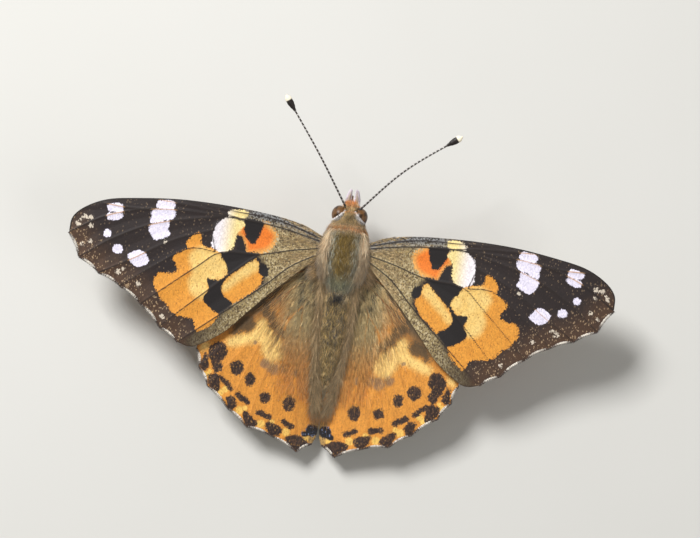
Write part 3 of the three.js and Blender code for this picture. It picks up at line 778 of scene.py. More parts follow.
upper, under = hindwing_upper(), hindwing_under()
for name, side in SIDES.items():
    piece = wing_piece(f"hindwing_skin_{name}", HINDWING, hindwing_height, side, HINDWING_FIELDS)
    piece.data.materials.append(upper)
    piece.data.materials.append(under)
    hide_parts(f"hindwing_{name}")
    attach(piece, "root")

# Body. Head, thorax and abdomen are one skin under a dense coat of fine hair: a loft of upright
# oval sections along the body. The abdomen's rings overlap like roof tiles.
STATIONS = np.array([
    # v, half width, top, bottom
    (3.72, 0.12, -0.45, -0.75), (3.5, 0.6, 0.1, -1.3), (2.8, 0.9, 0.42, -1.68), (2.2, 1.15, 0.45, -1.6),
    (1.75, 1.3, 0.5, -1.6), (1.25, 1.5, 0.65, -1.95), (0.4, 1.8, 1.1, -2.6), (-1.0, 2.0, 1.45, -2.9),
    (-2.6, 2.05, 1.5, -2.9), (-4.2, 1.85, 1.15, -2.65), (-5.3, 1.5, 0.6, -2.3), (-5.9, 1.32, 0.3, -2.2),
    (-7.0, 1.36, 0.25, -2.4), (-9.0, 1.45, 0.22, -2.6), (-11.5, 1.4, 0.05, -2.75),
    (-14.0, 1.15, -0.25, -2.75), (-16.0, 0.8, -0.7, -2.5), (-17.2, 0.4, -1.15, -2.2),
    (-17.6, 0.08, -1.55, -1.75),
])
BODY_RAILS = spline(STATIONS, 400)
BODY_SHARES = np.linspace(0, 1, len(BODY_RAILS))
ABDOMEN_START = -6.2
SEGMENT = 1.45
SEGMENT_STEP = 0.05


def body_point(angle, share):
    """The oval section at a share of the way from the face to the tail: half its width times the angle's
    cosine, and its middle plus half its height times the sine. The abdomen swells through each segment."""
    v, half, top, bottom = (np.interp(share, BODY_SHARES, rail) for rail in BODY_RAILS.T)
    ring = (ABDOMEN_START - v) / SEGMENT
    swell = 1 + SEGMENT_STEP * (ring - np.floor(ring) - 0.5) * soft(-v, -ABDOMEN_START, -ABDOMEN_START + 0.5)
    u = half * swell * np.cos(angle)
    w = (top + bottom) / 2 + (top - bottom) / 2 * swell * np.sin(angle)
    return np.stack([u, v, w], -1)


def patchy(places, size):
    """A number from 0 to 1 for each little cube of the given size, the same for every hair in it."""
    cell = np.floor(np.asarray(places) / size)
    scrambled = np.sin(cell @ np.array([12.9898, 78.233, 37.719])[: cell.shape[1]]) * 43758.5453
    return scrambled - np.floor(scrambled)


def tints(*codes):
    """Colours for hair, in one row for each code."""
    return np.array([tone(code)[:3] for code in codes])


def mixed(colours, code, share):
    """Each colour moved towards the code's by its own share."""
    return colours * (1 - share[:, None]) + tints(code) * share[:, None]


def either(count, share, first, second):
    """One of two colours for each hair, the first for about the given share of them."""
    return np.where(random.random((count, 1)) < share, tints(first), tints(second))


def straying(direction, count, stray):
    """The same direction for each hair, less or more by a little."""
    return np.tile(direction, (count, 1)) + random.normal(0, stray, (count, 3))


def body_colour(angle, v):
    """Olive brown along the top of the thorax, blue grey beside it and buff below, an orange brown
    collar and face, and a golden abdomen flecked with dark grey, each melting into the next."""
    rise = np.sin(angle) + random.normal(0, 0.07, len(angle))
    colour = np.tile(tints("b5a68c"), (len(v), 1))

    def lay(code, share):
        colour[:] = mixed(colour, code, share)

    thorax = soft(v, -6.4, -4.6) * (1 - soft(v, 0.7, 1.3))
    lay("cdb48c", soft(rise, -0.4, 0.1) * thorax)
    lay("9fa194", soft(rise, 0.45, 0.7) * thorax)
    lay("8a7136", soft(rise, 0.74, 0.93) * thorax)
    lay("a3a283", soft(rise, 0.6, 0.9) * soft(-v, 3.2, 4.4) * thorax)
    abdomen = soft(-v, 5.2, 6.6)
    lay("c9b88f", abdomen)
    lay("c4a673", soft(rise, -0.2, 0.35) * abdomen)
    lay("b89c62", soft(rise, 0.4, 0.8) * abdomen)
    flecked = random.random(len(v)) < 0.42
    lay("3f4248", soft(rise, 0.5, 0.85) * abdomen * (1 - 0.5 * soft(-v, 11.0, 15.0)) * flecked * 0.9)
    lay("1c1d21", soft(rise, 0.7, 0.92) * (1 - soft(np.abs(v + 6.4), 0.2, 0.7)))
    collar = soft(v, 0.9, 1.3) * (1 - soft(v, 1.5, 1.8))
    lay("a8743e", collar * soft(rise, -0.5, 0.3))
    head = soft(v, 1.5, 1.9)
    lay("ab9265", head * soft(rise, -0.1, 0.5))
    lay("b8702a", soft(v, 3.0, 3.3) * soft(rise, -0.6, 0.2))
    return colour


def closed_grid(points):
    """Faces of a grid of rings with a fan over each end, and the points with the two fan tips added."""
    rings, sides = points.shape[:2]
    number = np.arange(rings * sides).reshape(rings, sides)
    onward = np.roll(number, -1, axis=1)
    quads = np.stack([number[:-1], number[1:], onward[1:], onward[:-1]], -1).reshape(-1, 4)
    tips = rings * sides + np.arange(2)
    start = np.stack([onward[0], np.full(sides, tips[0]), number[0]], -1)
    end = np.stack([number[-1], np.full(sides, tips[1]), onward[-1]], -1)
    closed = np.vstack([points.reshape(-1, 3), points[0].mean(0), points[-1].mean(0)])
    return closed, [quads, np.vstack([start, end])]


def signed_volume(points, faces):
    """Six times the volume inside the faces, and below zero where they point inwards."""
    fans = [block[:, [0, k, k + 1]] for block in faces for k in range(1, block.shape[1] - 1)]
    a, b, c = (points[np.vstack(fans)[:, k]] for k in range(3))
    return np.sum(np.cross(a, b) * c)


def grid_piece(name, points):
    """A closed piece from a grid of rings, turned so that its faces point outwards. Its map has the way
    round across and the way along upwards, and the faces on the seam reach past the last column."""
    closed, faces = closed_grid(points)
    if signed_volume(closed, faces) < 0:
        faces = [block[:, ::-1] for block in faces]
    piece = build_mesh(name, stance(closed), faces)
    rings, sides = points.shape[:2]
    rows, columns = [], []
    for block in faces:
        row, column = np.divmod(np.minimum(block, rings * sides - 1), sides)
        column = np.where(block >= rings * sides, column[:, :1], column)
        row = np.where(block == rings * sides, 0, row)
        across_seam = (np.ptp(column, axis=1) > sides / 2)[:, None] & (column == 0)
        rows.append(row.ravel())
        columns.append(np.where(across_seam, sides, column).ravel())
    spots = np.column_stack([np.concatenate(columns) / sides, np.concatenate(rows) / rings])
    unwrap(piece, 0.01 + 0.98 * spots)
    return piece


def coat_paint(name, roughness=0.6, sheen=0.3):
    """Hair takes its colour from the one stored at its root, a little lighter and darker in clouds."""
    paint = Paint(name, roughness, 0.4, sheen)
    colour = paint.stored("coat", "Color")
    return paint.finish(paint.shade(colour, 0.82 + paint.cloud(0.0004) * 0.36))


BODY_ROWS = 260
BODY_SIDES = 72
SKIN_SHADE = 0.55
share, angle = np.meshgrid(
    np.linspace(0.002, 0.998, BODY_ROWS), np.arange(BODY_SIDES) / BODY_SIDES * 2 * np.pi, indexing="ij"
)
grid = body_point(angle, share)
body = grid_piece("body_skin", grid)
colours = body_colour(angle.ravel(), grid[..., 1].ravel()) * SKIN_SHADE
colours = np.vstack([colours, colours[:1], colours[-1:]])
store(body, "coat", np.column_stack([colours, np.ones(len(colours))]))
body.data.materials.append(coat_paint("body_skin", roughness=0.7, sheen=0.2))
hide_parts("head", "thorax", "abdomen")
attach(body, "root")


def tufts(name, roots, outward, lie, length, width, lift, colours, spots, curl=0.12):
    """One piece of many hairs. Each is a three-sided spike bent once: it rises from its root at the lift
    angle and lays over along its lie. The width is half its thickness at the foot, and none hangs below
    the floor. Every hair's patch of the OFBake map sits at its root's spot."""
    n = len(roots)
    lie = unit_rows(lie - np.sum(lie * outward, 1, keepdims=True) * outward)
    across = np.cross(outward, lie)
    length, width, lift = (np.broadcast_to(x, n)[:, None] for x in (length, width, lift))
    sway = random.normal(0, curl, (n, 1))
    knee = roots + length * 0.5 * (lie * np.cos(lift) + outward * np.sin(lift) + across * sway)
    tip = knee + length * 0.5 * (lie + outward * np.sin(lift) * 0.35 + across * sway * 2)
    foot = roots - outward * width
    turns = np.array([0, 2, 4]) * np.pi / 3
    ring = across[:, None] * np.cos(turns)[None, :, None] + outward[:, None] * np.sin(turns)[None, :, None]
    points = np.concatenate([
        foot[:, None] + ring * width[:, None], knee[:, None] + ring * width[:, None] * 0.75, tip[:, None],
    ], axis=1)
    start = 7 * np.arange(n)[:, None]
    sides = [np.array([k, (k + 1) % 3, 3 + (k + 1) % 3, 3 + k]) for k in range(3)]
    ends = [np.array([3 + k, 3 + (k + 1) % 3, 6]) for k in range(3)] + [np.array([2, 1, 0])]
    quads = np.concatenate([start + side for side in sides])
    spikes = np.concatenate([start + side for side in ends])
    placed = stance(points.reshape(-1, 3))
    placed[:, 2] = np.maximum(placed[:, 2], 0)
    piece = build_mesh(name, placed, [quads, spikes])
    store(piece, "coat", np.column_stack([np.repeat(colours, 7, axis=0), np.ones(7 * n)]))
    corner = corners_of(piece)
    patch_shape = np.array([(0, 0), (1, 0), (0.5, 0.5), (0, 0.7), (1, 0.7), (0.5, 0.9), (0.5, 1)]) * 0.003
    unwrap(piece, np.asarray(spots)[corner // 7] + patch_shape[corner % 7])
    piece.data.materials.append(hair_finish)
    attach(piece, "root")
    return piece


HAIR_GAIN = 1.45
BRIGHTEST = 0.85


def strands(colours, spread=0.28):
    """Each hair a little lighter or darker than the coat, and a few much paler or darker. Hairs shade
    one another, so each is lighter by the gain than the coat they make. A hair past the brightest is
    scaled back whole, which keeps its hue."""
    n = len(colours)
    value = np.exp(random.normal(0, spread, n))
    value = np.where(random.random(n) < 0.10, value * 1.5, value)
    value = np.where(random.random(n) < 0.14, value * 0.45, value)
    bright = HAIR_GAIN * colours * value[:, None]
    return bright / np.maximum(1, bright.max(1, keepdims=True) / BRIGHTEST)


hair_finish = coat_paint("hair")


def body_coat(name, count, low, high, length, lift, width, stray, contrast, facing=None):
    """Hairs over a stretch of the body between two values of v, as dense as the surface is wide. They
    stray from their lie and vary in lightness hair by hair and clump by clump."""
    v, half = BODY_RAILS[:, :2].T
    total = np.append(0, np.cumsum((half + 0.2) * (v > low) * (v < high)))
    share = np.interp(random.random(count) * total[-1], total, np.append(BODY_SHARES, 1))
    angle = random.random(count) * 2 * np.pi
    here = body_point(angle, share)
    around = body_point(angle + 0.01, share) - here
    back = body_point(angle, np.minimum(share + 0.002, 1)) - body_point(angle, share - 0.002)
    outward = unit_rows(np.cross(around, back))
    middle = here * (0, 1, 0) + (0, 0, -0.8)
    outward *= np.sign(np.sum(outward * (here - middle), 1, keepdims=True))
    lie = unit_rows(back) + random.normal(0, stray, (count, 3))
    flank = np.abs(np.cos(angle)) * (np.sin(angle) > -0.3)
    if facing is not None:
        lie = np.asarray(facing) + random.normal(0, stray, (count, 3)) + outward * 0.2
    colours = strands(body_colour(angle, here[:, 1]), contrast)
    clump = patchy(here + random.normal(0, 0.05, here.shape), 0.3)
    colours *= (1 + contrast * (clump - 0.5) * 1.6)[:, None]
    spots = np.column_stack([angle / (2 * np.pi), share]) * 0.98 + 0.01
    size = length * (0.6 + 0.7 * random.random(count)) * (1 + 0.35 * flank)
    return tufts(name, here, outward, lie, size, width, lift, colours, spots)


BODY_COATS = {
    # name: hairs, from v, to v, length, lift, width, stray, contrast
    "hair_thorax_front": (10500, -2.2, 1.1, 1.25, 0.5, 0.022, 0.30, 0.42),
    "hair_thorax_back": (12000, -6.6, -1.8, 1.6, 0.42, 0.022, 0.28, 0.42),
    "hair_abdomen_front": (11500, -12.0, -5.6, 1.0, 0.34, 0.024, 0.34, 0.62),
    "hair_abdomen_back": (9000, -17.5, -11.6, 0.95, 0.3, 0.024, 0.30, 0.6),
    "hair_collar": (4500, 0.7, 1.8, 1.0, 0.75, 0.022, 0.4, 0.35),
    "hair_head": (5500, 1.5, 3.2, 0.75, 0.95, 0.02, 0.45, 0.4),
}
for name, sizes in BODY_COATS.items():
    body_coat(name, *sizes)
body_coat("hair_face", 2600, 2.9, 3.7, 0.85, 0.5, 0.022, 0.25, 0.35, facing=(0, 1.0, 0.25))


# Side brushes. Long pale hair lies back from each shoulder over the wing root, more lies back from the
# hindwing root along the abdomen, and shorter hair closes the gap between the two wing roots.
def lappet_hair(name, side, count=3800):
    """Roots in an arch along the shoulder, highest and furthest out half way. The hair lies back."""
    along = random.random(count)
    arch = np.sin(np.pi * along)
    roots = np.column_stack([
        side * (1.6 + 0.4 * arch + 0.15 * random.normal(size=count)),
        0.9 - 4.6 * along,
        0.75 + 0.45 * arch - 0.5 * random.random(count),
    ])
    outward = np.tile([side * 0.75, 0.0, 0.66], (count, 1))
    lie = straying([side * 0.3, -1.0, -0.05], count, 0.25)
    pale = either(count, 0.6, "e0cba8", "bb9e78")
    spots = np.column_stack([0.25 - side * 0.2 + 0.05 * along, 0.3 + 0.2 * along])
    length = 1.2 + 1.2 * random.random(count)
    tufts(f"hair_lappet_{name}", roots, outward, lie, length, width=0.022, lift=0.4,
          colours=strands(pale, 0.35), spots=spots)


def flank_hair(name, side, count=5000):
    """Roots on the hindwing beside the abdomen, which they near as the square of the way back, and
    above it near the root. The hair lies back over the abdomen's side and hides the wing's edge."""
    along = random.random(count) ** 1.25
    start = np.column_stack([1.75 + 0.5 * random.random(count) - 1.1 * along**2, -3.6 - 16.2 * along])
    rise = hindwing_height(*start.T) + 0.14 + 0.9 * (1 - along) * random.random(count)
    roots = np.column_stack([side * start[:, 0], start[:, 1], rise])
    lie = straying([-side * 0.16, -1.0, 0.03], count, 0.16)
    outward = np.tile([side * 0.1, 0.0, 1.0], (count, 1))
    tan = either(count, 0.7, "c6ac82", "937c5a")
    spots = np.column_stack([0.25 - side * 0.22 + 0.02 * along, 0.5 + 0.4 * along])
    length = 1.9 + 1.3 * random.random(count)
    tufts(f"hair_flank_{name}", roots, outward, lie, length, width=0.019, lift=0.26,
          colours=strands(tan, 0.42), spots=spots)


def hinge_hair(name, side, count=2400):
    """Roots on the thorax's side below the forewing. The hair stands out level and a little back."""
    along = random.random(count)
    roots = np.column_stack([
        side * (1.75 + 0.15 * random.random(count)), -1.2 - 3.2 * along, -1.5 + 1.4 * random.random(count),
    ])
    lie = straying([side * 1.0, -0.35, 0.25], count, 0.25)
    outward = np.tile([0.0, 0.3, 0.954], (count, 1))
    buff = either(count, 0.7, "b99a6c", "6b5a44")
    spots = np.column_stack([0.25 - side * 0.24 + 0.01 * along, 0.35 + 0.1 * along])
    length = 2.0 + 0.9 * random.random(count)
    tufts(f"hair_hinge_{name}", roots, outward, lie, length, width=0.026, lift=0.1,
          colours=strands(buff, 0.35), spots=spots)


for name, side in SIDES.items():
    lappet_hair(name, side)
    flank_hair(name, side)
    hinge_hair(name, side)


# Wing hair: long golden hair lies back over the inner half of the hindwing, short hair over the base
# of the forewing, and a fringe of narrow scales stands out from each outer margin.
def on_wing(shape, height, side, where):
    """Points on the wing's upper face, and the face's own upward direction from the height's slopes."""
    u, v = where.T
    small = 0.01
    slope_u = (height(u + small, v) - height(u - small, v)) / (2 * small)
    slope_v = (height(u, v + small) - height(u, v - small)) / (2 * small)
    roots = np.column_stack([side * u, v, height(u, v) + shape["lift"] + MEMBRANE_HALF * 0.5])
    outward = np.column_stack([-side * slope_u, -slope_v, np.ones(len(u))])
    return roots, unit_rows(outward)


def wing_spots(shape, where):
    """The spot on the wing's own map, so that hair is laid out over the skin that it stands on."""
    places = shape["grid"][0].reshape(-1, 2)
    low, size = places.min(0), np.ptp(places, 0)
    return (where - low) / size * (0.95, 0.45) + (0.02, 0.02)


def scattered(shape, count, weight):
    """Random places on the wing, kept with the given weight from 0 to 1."""
    places = shape["grid"][0].reshape(-1, 2)
    outline = outline_of(shape)[::6]
    low, size = places.min(0), np.ptp(places, 0)
    where = low + size * random.random((count * 14, 2))
    where = where[random.random(len(where)) < weight(*where.T)][: 3 * count]
    return where[within(where, np.vstack([outline, outline[:1]]))][:count]


def golden_weight(u, v):
    """Thick near the body, thinning out through the orange, and thick down the fold by the abdomen."""
    uncovered = soft(-(u + v), -0.3, 0.6)
    spread = np.exp(-((np.maximum(u - 1.0, 0) / 3.4) ** 2))
    near = spread * (0.15 + 0.85 * soft(v, -17.5, -10.5)) * soft(v, -19.8, -17.6)
    fold = (1 - soft(u, 0.8, 1.5)) * soft(v, -22.0, -19.5)
    return uncovered * np.maximum(near, fold)


def base_weight(u, v):
    """Thick at the root and gone by a quarter of the way out, whatever v is."""
    return (1 - soft(u, 3.5, 8.5)) * (u > 2.2)


def level(run, side, stray):
    """Directions on the wing seen from above as level ones in the body frame, each straying a little."""
    flat = np.column_stack([side * run[:, 0], run[:, 1], np.zeros(len(run))])
    return flat + random.normal(0, stray, (len(run), 3))


def fanned(where, centre, side, stray):
    """Directions away from a point near the wing's root."""
    return level(unit_rows(where - centre), side, stray)


def hindwing_hair_colours(where):
    """Golden brown near the body and orange further out, with dark clumps by the hinge, and the colour
    of the pale patch, the olive bars and the round spots where the hair stands on them."""
    outer_part = np.maximum(soft(-where[:, 1], 9.5, 15.5), soft(where[:, 0], 4.0, 8.0))
    colours = tints("cdb27c", "a08a5e", "e3d09e")[random.integers(0, 3, len(where))]
    colours = mixed(colours, "db9f52", outer_part)
    by_hinge = (where[:, 1] > -8.5) & (where[:, 0] < 4.2)
    dark = (patchy(where, 0.4) < 0.4) & by_hinge & (random.random(len(where)) < 0.7)
    colours = np.where(dark[:, None], tints("2f2b26"), colours)
    colours = mixed(colours, "e3c583", soft(marks(where, PALE_PATCHES), -0.5, 0.3) * 0.8)
    colours = mixed(colours, "4f4029", soft(marks(where, OLIVE_BARS), -0.2, 0.3) * 0.85)
    spotted = np.max([dot(where, (u, v), across, along) for u, v, across, along in EYE_SPOTS], axis=0)
    return np.where(spotted[:, None] > 0, tints("3a261a"), colours)


for name, side in SIDES.items():
    where = scattered(HINDWING, 12500, golden_weight)
    roots, outward = on_wing(HINDWING, hindwing_height, side, where)
    lie = fanned(where, (1.5, -1.0), side, 0.10)
    colours = hindwing_hair_colours(where)
    length = 1.0 + 1.0 * random.random(len(where))
    tufts(f"hair_hindwing_{name}", roots, outward, lie, length, width=0.017, lift=0.09, curl=0.07,
          colours=strands(colours, 0.3), spots=wing_spots(HINDWING, where))
    where = scattered(FOREWING, 5000, base_weight)
    roots, outward = on_wing(FOREWING, wing_height, side, where)
    lie = fanned(where, (0.5, -1.2), side, 0.12)
    length = 0.35 + 0.5 * random.random(len(where))
    colours = tints("a38a5a", "6f5d42", "c9ae80")[random.integers(0, 3, len(where))]
    tufts(f"hair_forewing_{name}", roots, outward, lie, length, width=0.016, lift=0.12, curl=0.05,
          colours=strands(colours, 0.35), spots=wing_spots(FOREWING, where))

FRINGE_LENGTH = 0.34


def fringe(kind, shape, height, name, side, count=3300):
    """Scales that stand straight out from the outer margin, at even chances along it: dark at the ends
    of the veins, white and longer between them."""
    outer, bay = shape["grid"][1:]
    stop = random.random(count) * (len(outer) - 1.001)
    first = stop.astype(int)
    part = (stop - first)[:, None]
    where = outer[first] * (1 - part) + outer[first + 1] * part
    run = unit_rows(outer[first + 1] - outer[first])
    away = np.column_stack([run[:, 1], -run[:, 0]])
    away *= np.sign(np.sum(away * (where - shape["grid"][0].reshape(-1, 2).mean(0)), 1, keepdims=True))
    roots, outward = on_wing(shape, height, side, where - away * 0.08)
    roots = roots - outward * 0.05 * random.random((count, 1))
    lie = level(away, side, 0.13)
    white = soft(bay[first] + random.normal(0, 0.22, count), 0.68, 0.86)
    colours = mixed(tints("3a291f"), "dcd5c9", white)
    length = FRINGE_LENGTH * (0.75 + 0.4 * random.random(count)) * (0.75 + 0.35 * bay[first])
    tufts(f"fringe_{kind}_{name}", roots, outward, lie, length, width=0.018, lift=0.03, curl=0.04,
          colours=strands(colours, 0.15), spots=wing_spots(shape, where))


for name, side in SIDES.items():
    fringe("forewing", FOREWING, wing_height, name, side)
for name, side in SIDES.items():
    fringe("hindwing", HINDWING, hindwing_height, name, side)

# Eyes: domes of many tiny lenses, brown and glossy, sunk into the sides of the head. Each is set in
# silver white hair flecked with grey, which goes over into silver, grey and tan hair behind it.
EYE_CENTRE = np.array([1.2, 2.62, -0.5])
EYE_RADII = np.array([0.95, 1.08, 1.2])
LOOKING = np.array([0.66, 0.74, 0.12])


def eye_paint():
    """Brown with darker clouds, lenses as fine domes, and a wet gloss."""
    paint = Paint("eye", roughness=0.38, specular=0.35)
    lens = paint.domes(0.00006)
    colour = paint.blend("6b4a2a", "32200f", paint.cloud(0.0007, 1.0).step(0.4, 0.6))
    return paint.finish(paint.shade(colour, 1.25 - lens * 0.6), 1 - lens, 0.00001, 0.6)


def round_the_eye(axis, turn, ahead, side):
    """Roots on the dome, turned round the way that it looks and a share of its radius ahead, with the
    dome's outward direction there, and where that is on a round dome."""
    beside = np.array([-axis[1], axis[0], 0.0])
    above = np.cross(axis, beside)
    ring = np.cos(turn)[:, None] * beside + np.sin(turn)[:, None] * above
    unit = ahead[:, None] * axis + np.sqrt(1 - ahead**2)[:, None] * ring
    return EYE_CENTRE * (side, 1, 1) + EYE_RADII * unit, unit_rows(unit / EYE_RADII), unit


def rim_hair(name, side, count=2200):
    """Short hair in a ring round the dome, from behind its middle to a little ahead. It leans back."""
    axis = LOOKING * (side, 1, 1)
    turn = random.random(count) * 2 * np.pi
    ahead = random.uniform(-0.45, 0.18, count)
    roots, outward, unit = round_the_eye(axis, turn, ahead, side)
    lie = straying(-axis, count, 0.25)
    flecked = (patchy(roots, 0.16) < 0.22)[:, None]
    silver = np.where(flecked, tints("6f6763"), tints("ebe7e4"))
    spots = np.column_stack([0.5 - side * 0.2 + 0.02 * unit[:, 1], 0.06 + 0.02 * unit[:, 2]])
    tufts(f"hair_eye_rim_{name}", roots, outward, lie, length=0.34, width=0.024, lift=0.4,
          colours=strands(silver, 0.1), spots=spots)


def hair_behind_eye(name, side, count=1800):
    """Longer and looser hair over the back of the dome, thicker towards the rim."""
    axis = LOOKING * (side, 1, 1)
    turn = random.random(count) * 2 * np.pi
    ahead = -1 + 0.75 * random.random(count) ** 0.7
    roots, outward, unit = round_the_eye(axis, turn, ahead, side)
    lie = straying(-axis, count, 0.35)
    length = 0.45 + 0.3 * random.random(count)
    shades = tints("d8d3ce", "5c534c", "cbc2b4", "a48c62")[random.integers(0, 4, count)]
    spots = np.column_stack([0.5 - side * 0.24 + 0.02 * unit[:, 1], 0.09 + 0.02 * unit[:, 2]])
    tufts(f"hair_eye_back_{name}", roots, outward, lie, length, width=0.02, lift=0.6,
          colours=strands(shades, 0.3), spots=spots)


eye_finish = eye_paint()
tilt, turn = np.meshgrid(
    np.linspace(0.03, np.pi - 0.03, 60), np.arange(80) / 80 * 2 * np.pi, indexing="ij"
)
EYE_BALL = np.stack([np.cos(tilt), np.sin(tilt) * np.cos(turn), np.sin(tilt) * np.sin(turn)], -1)
for name, side in SIDES.items():
    eye = grid_piece(f"eye_dome_{name}", (EYE_CENTRE + EYE_RADII * EYE_BALL) * (side, 1, 1))
    eye.data.materials.append(eye_finish)
    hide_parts(f"eye_{name}")
    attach(eye, "root")
    rim_hair(name, side)
    hair_behind_eye(name, side)


# Feelers: a slender shaft of many short joints, dark with a fine white ring on each, and a flattened
# club with a pale tip. Each plugs into the top of the head.
def sweep(name, path, radii, sides=16, flatten=1.0):
    """A round tube: rings square to a path of points, each with its radius, carried on without twist.
    The way along the path in millimetres is stored for the finish."""
    path = np.asarray(path, float)
    along = unit_rows(np.gradient(path, axis=0))
    across = np.cross((0, 0, 1), along[0])
    frames = []
    for direction in along:
        across = across - across @ direction * direction
        across = across / np.linalg.norm(across)
        frames.append(across)
    across = np.array(frames)
    up = np.cross(along, across)
    turn = np.arange(sides) / sides * 2 * np.pi
    radii = np.broadcast_to(radii, len(path))[:, None, None]
    flatten = np.broadcast_to(flatten, len(path))[:, None, None]
    ring = across[:, None] * np.cos(turn)[None, :, None] + up[:, None] * np.sin(turn)[None, :, None] * flatten
    piece = grid_piece(name, path[:, None] + ring * radii)
    travelled = np.append(0, np.cumsum(np.linalg.norm(np.diff(path, axis=0), axis=1)))
    store(piece, "along", np.append(np.repeat(travelled, sides), [0, travelled[-1]]))
    return piece


FEELER_PATHS = {
    "left": [(-0.15, 2.9, -0.1), (-4.4, 9.0, 2.6), (-9.3, 15.35, 3.9)],
    "right": [(0.6, 2.9, -0.1), (5.6, 8.6, 2.6), (11.7, 13.5, 3.9)],
}
FEELER_ROWS = 320
FEELER_JOINT = 0.5
SHAFT_RADIUS = 0.118
CLUB_SWELL = 0.29
ROOT_SWELL = 0.09


def feeler_paint(length):
    """Dark brown shaft with a white ring of scales on each joint, and a club with a cream tip."""
    paint = Paint("feeler", roughness=0.5, specular=0.4)
    along = paint.stored("along")
    joints = along * (1 / FEELER_JOINT)
    joint = joints.math("FRACT", joints)
    shaft = 1 - along.step(length - 2.4, length - 1.9)
    white = (joint + (paint.cells(0.00006) - 0.5) * 0.2).step(0.60, 0.70) * shaft * along.step(0.6, 2.5)
    colour = paint.blend("2a211c", "d9d6d2", white * 0.75)
    colour = paint.blend(colour, "1d1613", along.step(length - 2.3, length - 1.9))
    colour = paint.blend(colour, "f4ead2", along.step(length - 0.72, length - 0.6))
    return paint.finish(colour, paint.cells(0.00007), 0.00001, 0.5)


for name, joints in FEELER_PATHS.items():
    path = spline(joints, FEELER_ROWS)
    length = np.sum(np.linalg.norm(np.diff(path, axis=0), axis=1))
    along = np.linspace(0, length, FEELER_ROWS)
    beads = 1 + 0.10 * np.cos(2 * np.pi * along / FEELER_JOINT)
    club = soft(along, length - 2.4, length - 1.0) * (1 - 0.95 * soft(along, length - 0.7, length) ** 3)
    shaft = SHAFT_RADIUS * beads * (1 - 0.2 * soft(along, 0, length))
    radii = shaft + CLUB_SWELL * club + ROOT_SWELL * (1 - soft(along, 0, 1.3))
    feeler = sweep(f"feeler_{name}", path, radii, flatten=1 - 0.3 * club)
    feeler.data.materials.append(feeler_paint(length))
    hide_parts(f"antenna_{name}")
    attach(feeler, "root")

# Palps: two upturned feelers either side of the tongue, set in the lower face. Each is a horny core
# in a dense brush of hair, brown above and white and lilac at the sides.
PALP = np.array([(0.42, 2.9, -1.25), (0.5, 4.1, -1.0), (0.46, 4.9, -0.6), (0.34, 5.55, -0.2)])
PALP_ROWS = 60


def palp_hair(name, side, path, count=1900):
    """Roots round the core, closer in towards its tip. The hair lies forward and a little up, and is
    shorter near the tip."""
    share = random.random(count)
    here = between(share, np.linspace(0, 1, PALP_ROWS), path)
    turn = random.random(count) * 2 * np.pi
    outward = np.column_stack([np.cos(turn), np.zeros(count), np.sin(turn)])
    roots = here + outward * 0.29 * (1 - 0.8 * share[:, None] ** 2)
    lie = straying([0.0, 1.0, 0.45], count, 0.12)
    colours = mixed(tints("c9bfc6"), "8f6436", soft(np.sin(turn) - 0.8 * share, 0.1, 0.7))
    spots = np.column_stack([0.5 - side * 0.1 + 0.02 * np.sin(turn), 0.02 + 0.03 * share])
    tufts(f"hair_palp_{name}", roots, outward, lie, length=0.6 * (1.1 - 0.6 * share), width=0.022,
          lift=0.34, curl=0.05, colours=strands(colours, 0.15), spots=spots)


palp_finish = Paint("palp", roughness=0.6, specular=0.3, sheen=0.3)
palp_colour = palp_finish.blend("d8d2cc", "9a7a5a", palp_finish.cloud(0.0005))
palp_finish.finish(palp_colour)
for name, side in SIDES.items():
    path = spline(PALP * (side, 1, 1) + (0.12, 0, 0), PALP_ROWS)
    share = np.linspace(0, 1, PALP_ROWS)
    palp = sweep(f"palp_core_{name}", path, 0.33 * (1 - 0.85 * share**2), sides=20, flatten=1.2)
    palp.data.materials.append(palp_finish.material)
    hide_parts(f"palp_{name}")
    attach(palp, "root")
    palp_hair(name, side, path)

# Tongue: a slender horny sucking tube coiled like a watch spring under the face, in the middle plane.
# It hangs from the mouth between the palps.
COIL_CENTRE = (4.02, -3.12)
COIL_OUTER = 1.15
COIL_INNER = 0.22
COIL_TURNS = 3.2
COIL_ROWS = 260
RISE_ROWS = 30
turn = np.linspace(0, COIL_TURNS, COIL_ROWS)
reach = COIL_INNER + (COIL_OUTER - COIL_INNER) * turn / COIL_TURNS
bearing = 2 * np.pi * (turn - COIL_TURNS) + np.pi
coil = np.column_stack([
    np.zeros(COIL_ROWS),
    COIL_CENTRE[0] + reach * np.cos(bearing),
    COIL_CENTRE[1] + reach * np.sin(bearing),
])
rise = np.column_stack([
    np.zeros(RISE_ROWS),
    np.full(RISE_ROWS, coil[-1, 1]),
    np.linspace(coil[-1, 2] + 0.05, -1.2, RISE_ROWS),
])
tongue_paint = Paint("tongue", roughness=0.35, specular=0.5)
along = tongue_paint.stored("along")
rings = along.math("SINE", along * 60)
horn = tongue_paint.blend("3a2416", "6b4526", tongue_paint.cloud(0.0004))
tongue_paint.finish(horn, rings, 0.00001, 0.4)
path = np.vstack([coil, rise])
radii = np.interp(np.arange(len(path)), [0, len(path)], [0.09, 0.15])
tongue = sweep("tongue", path, radii, sides=12)
tongue.data.materials.append(tongue_paint.material)
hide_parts("proboscis")
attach(tongue, "root")

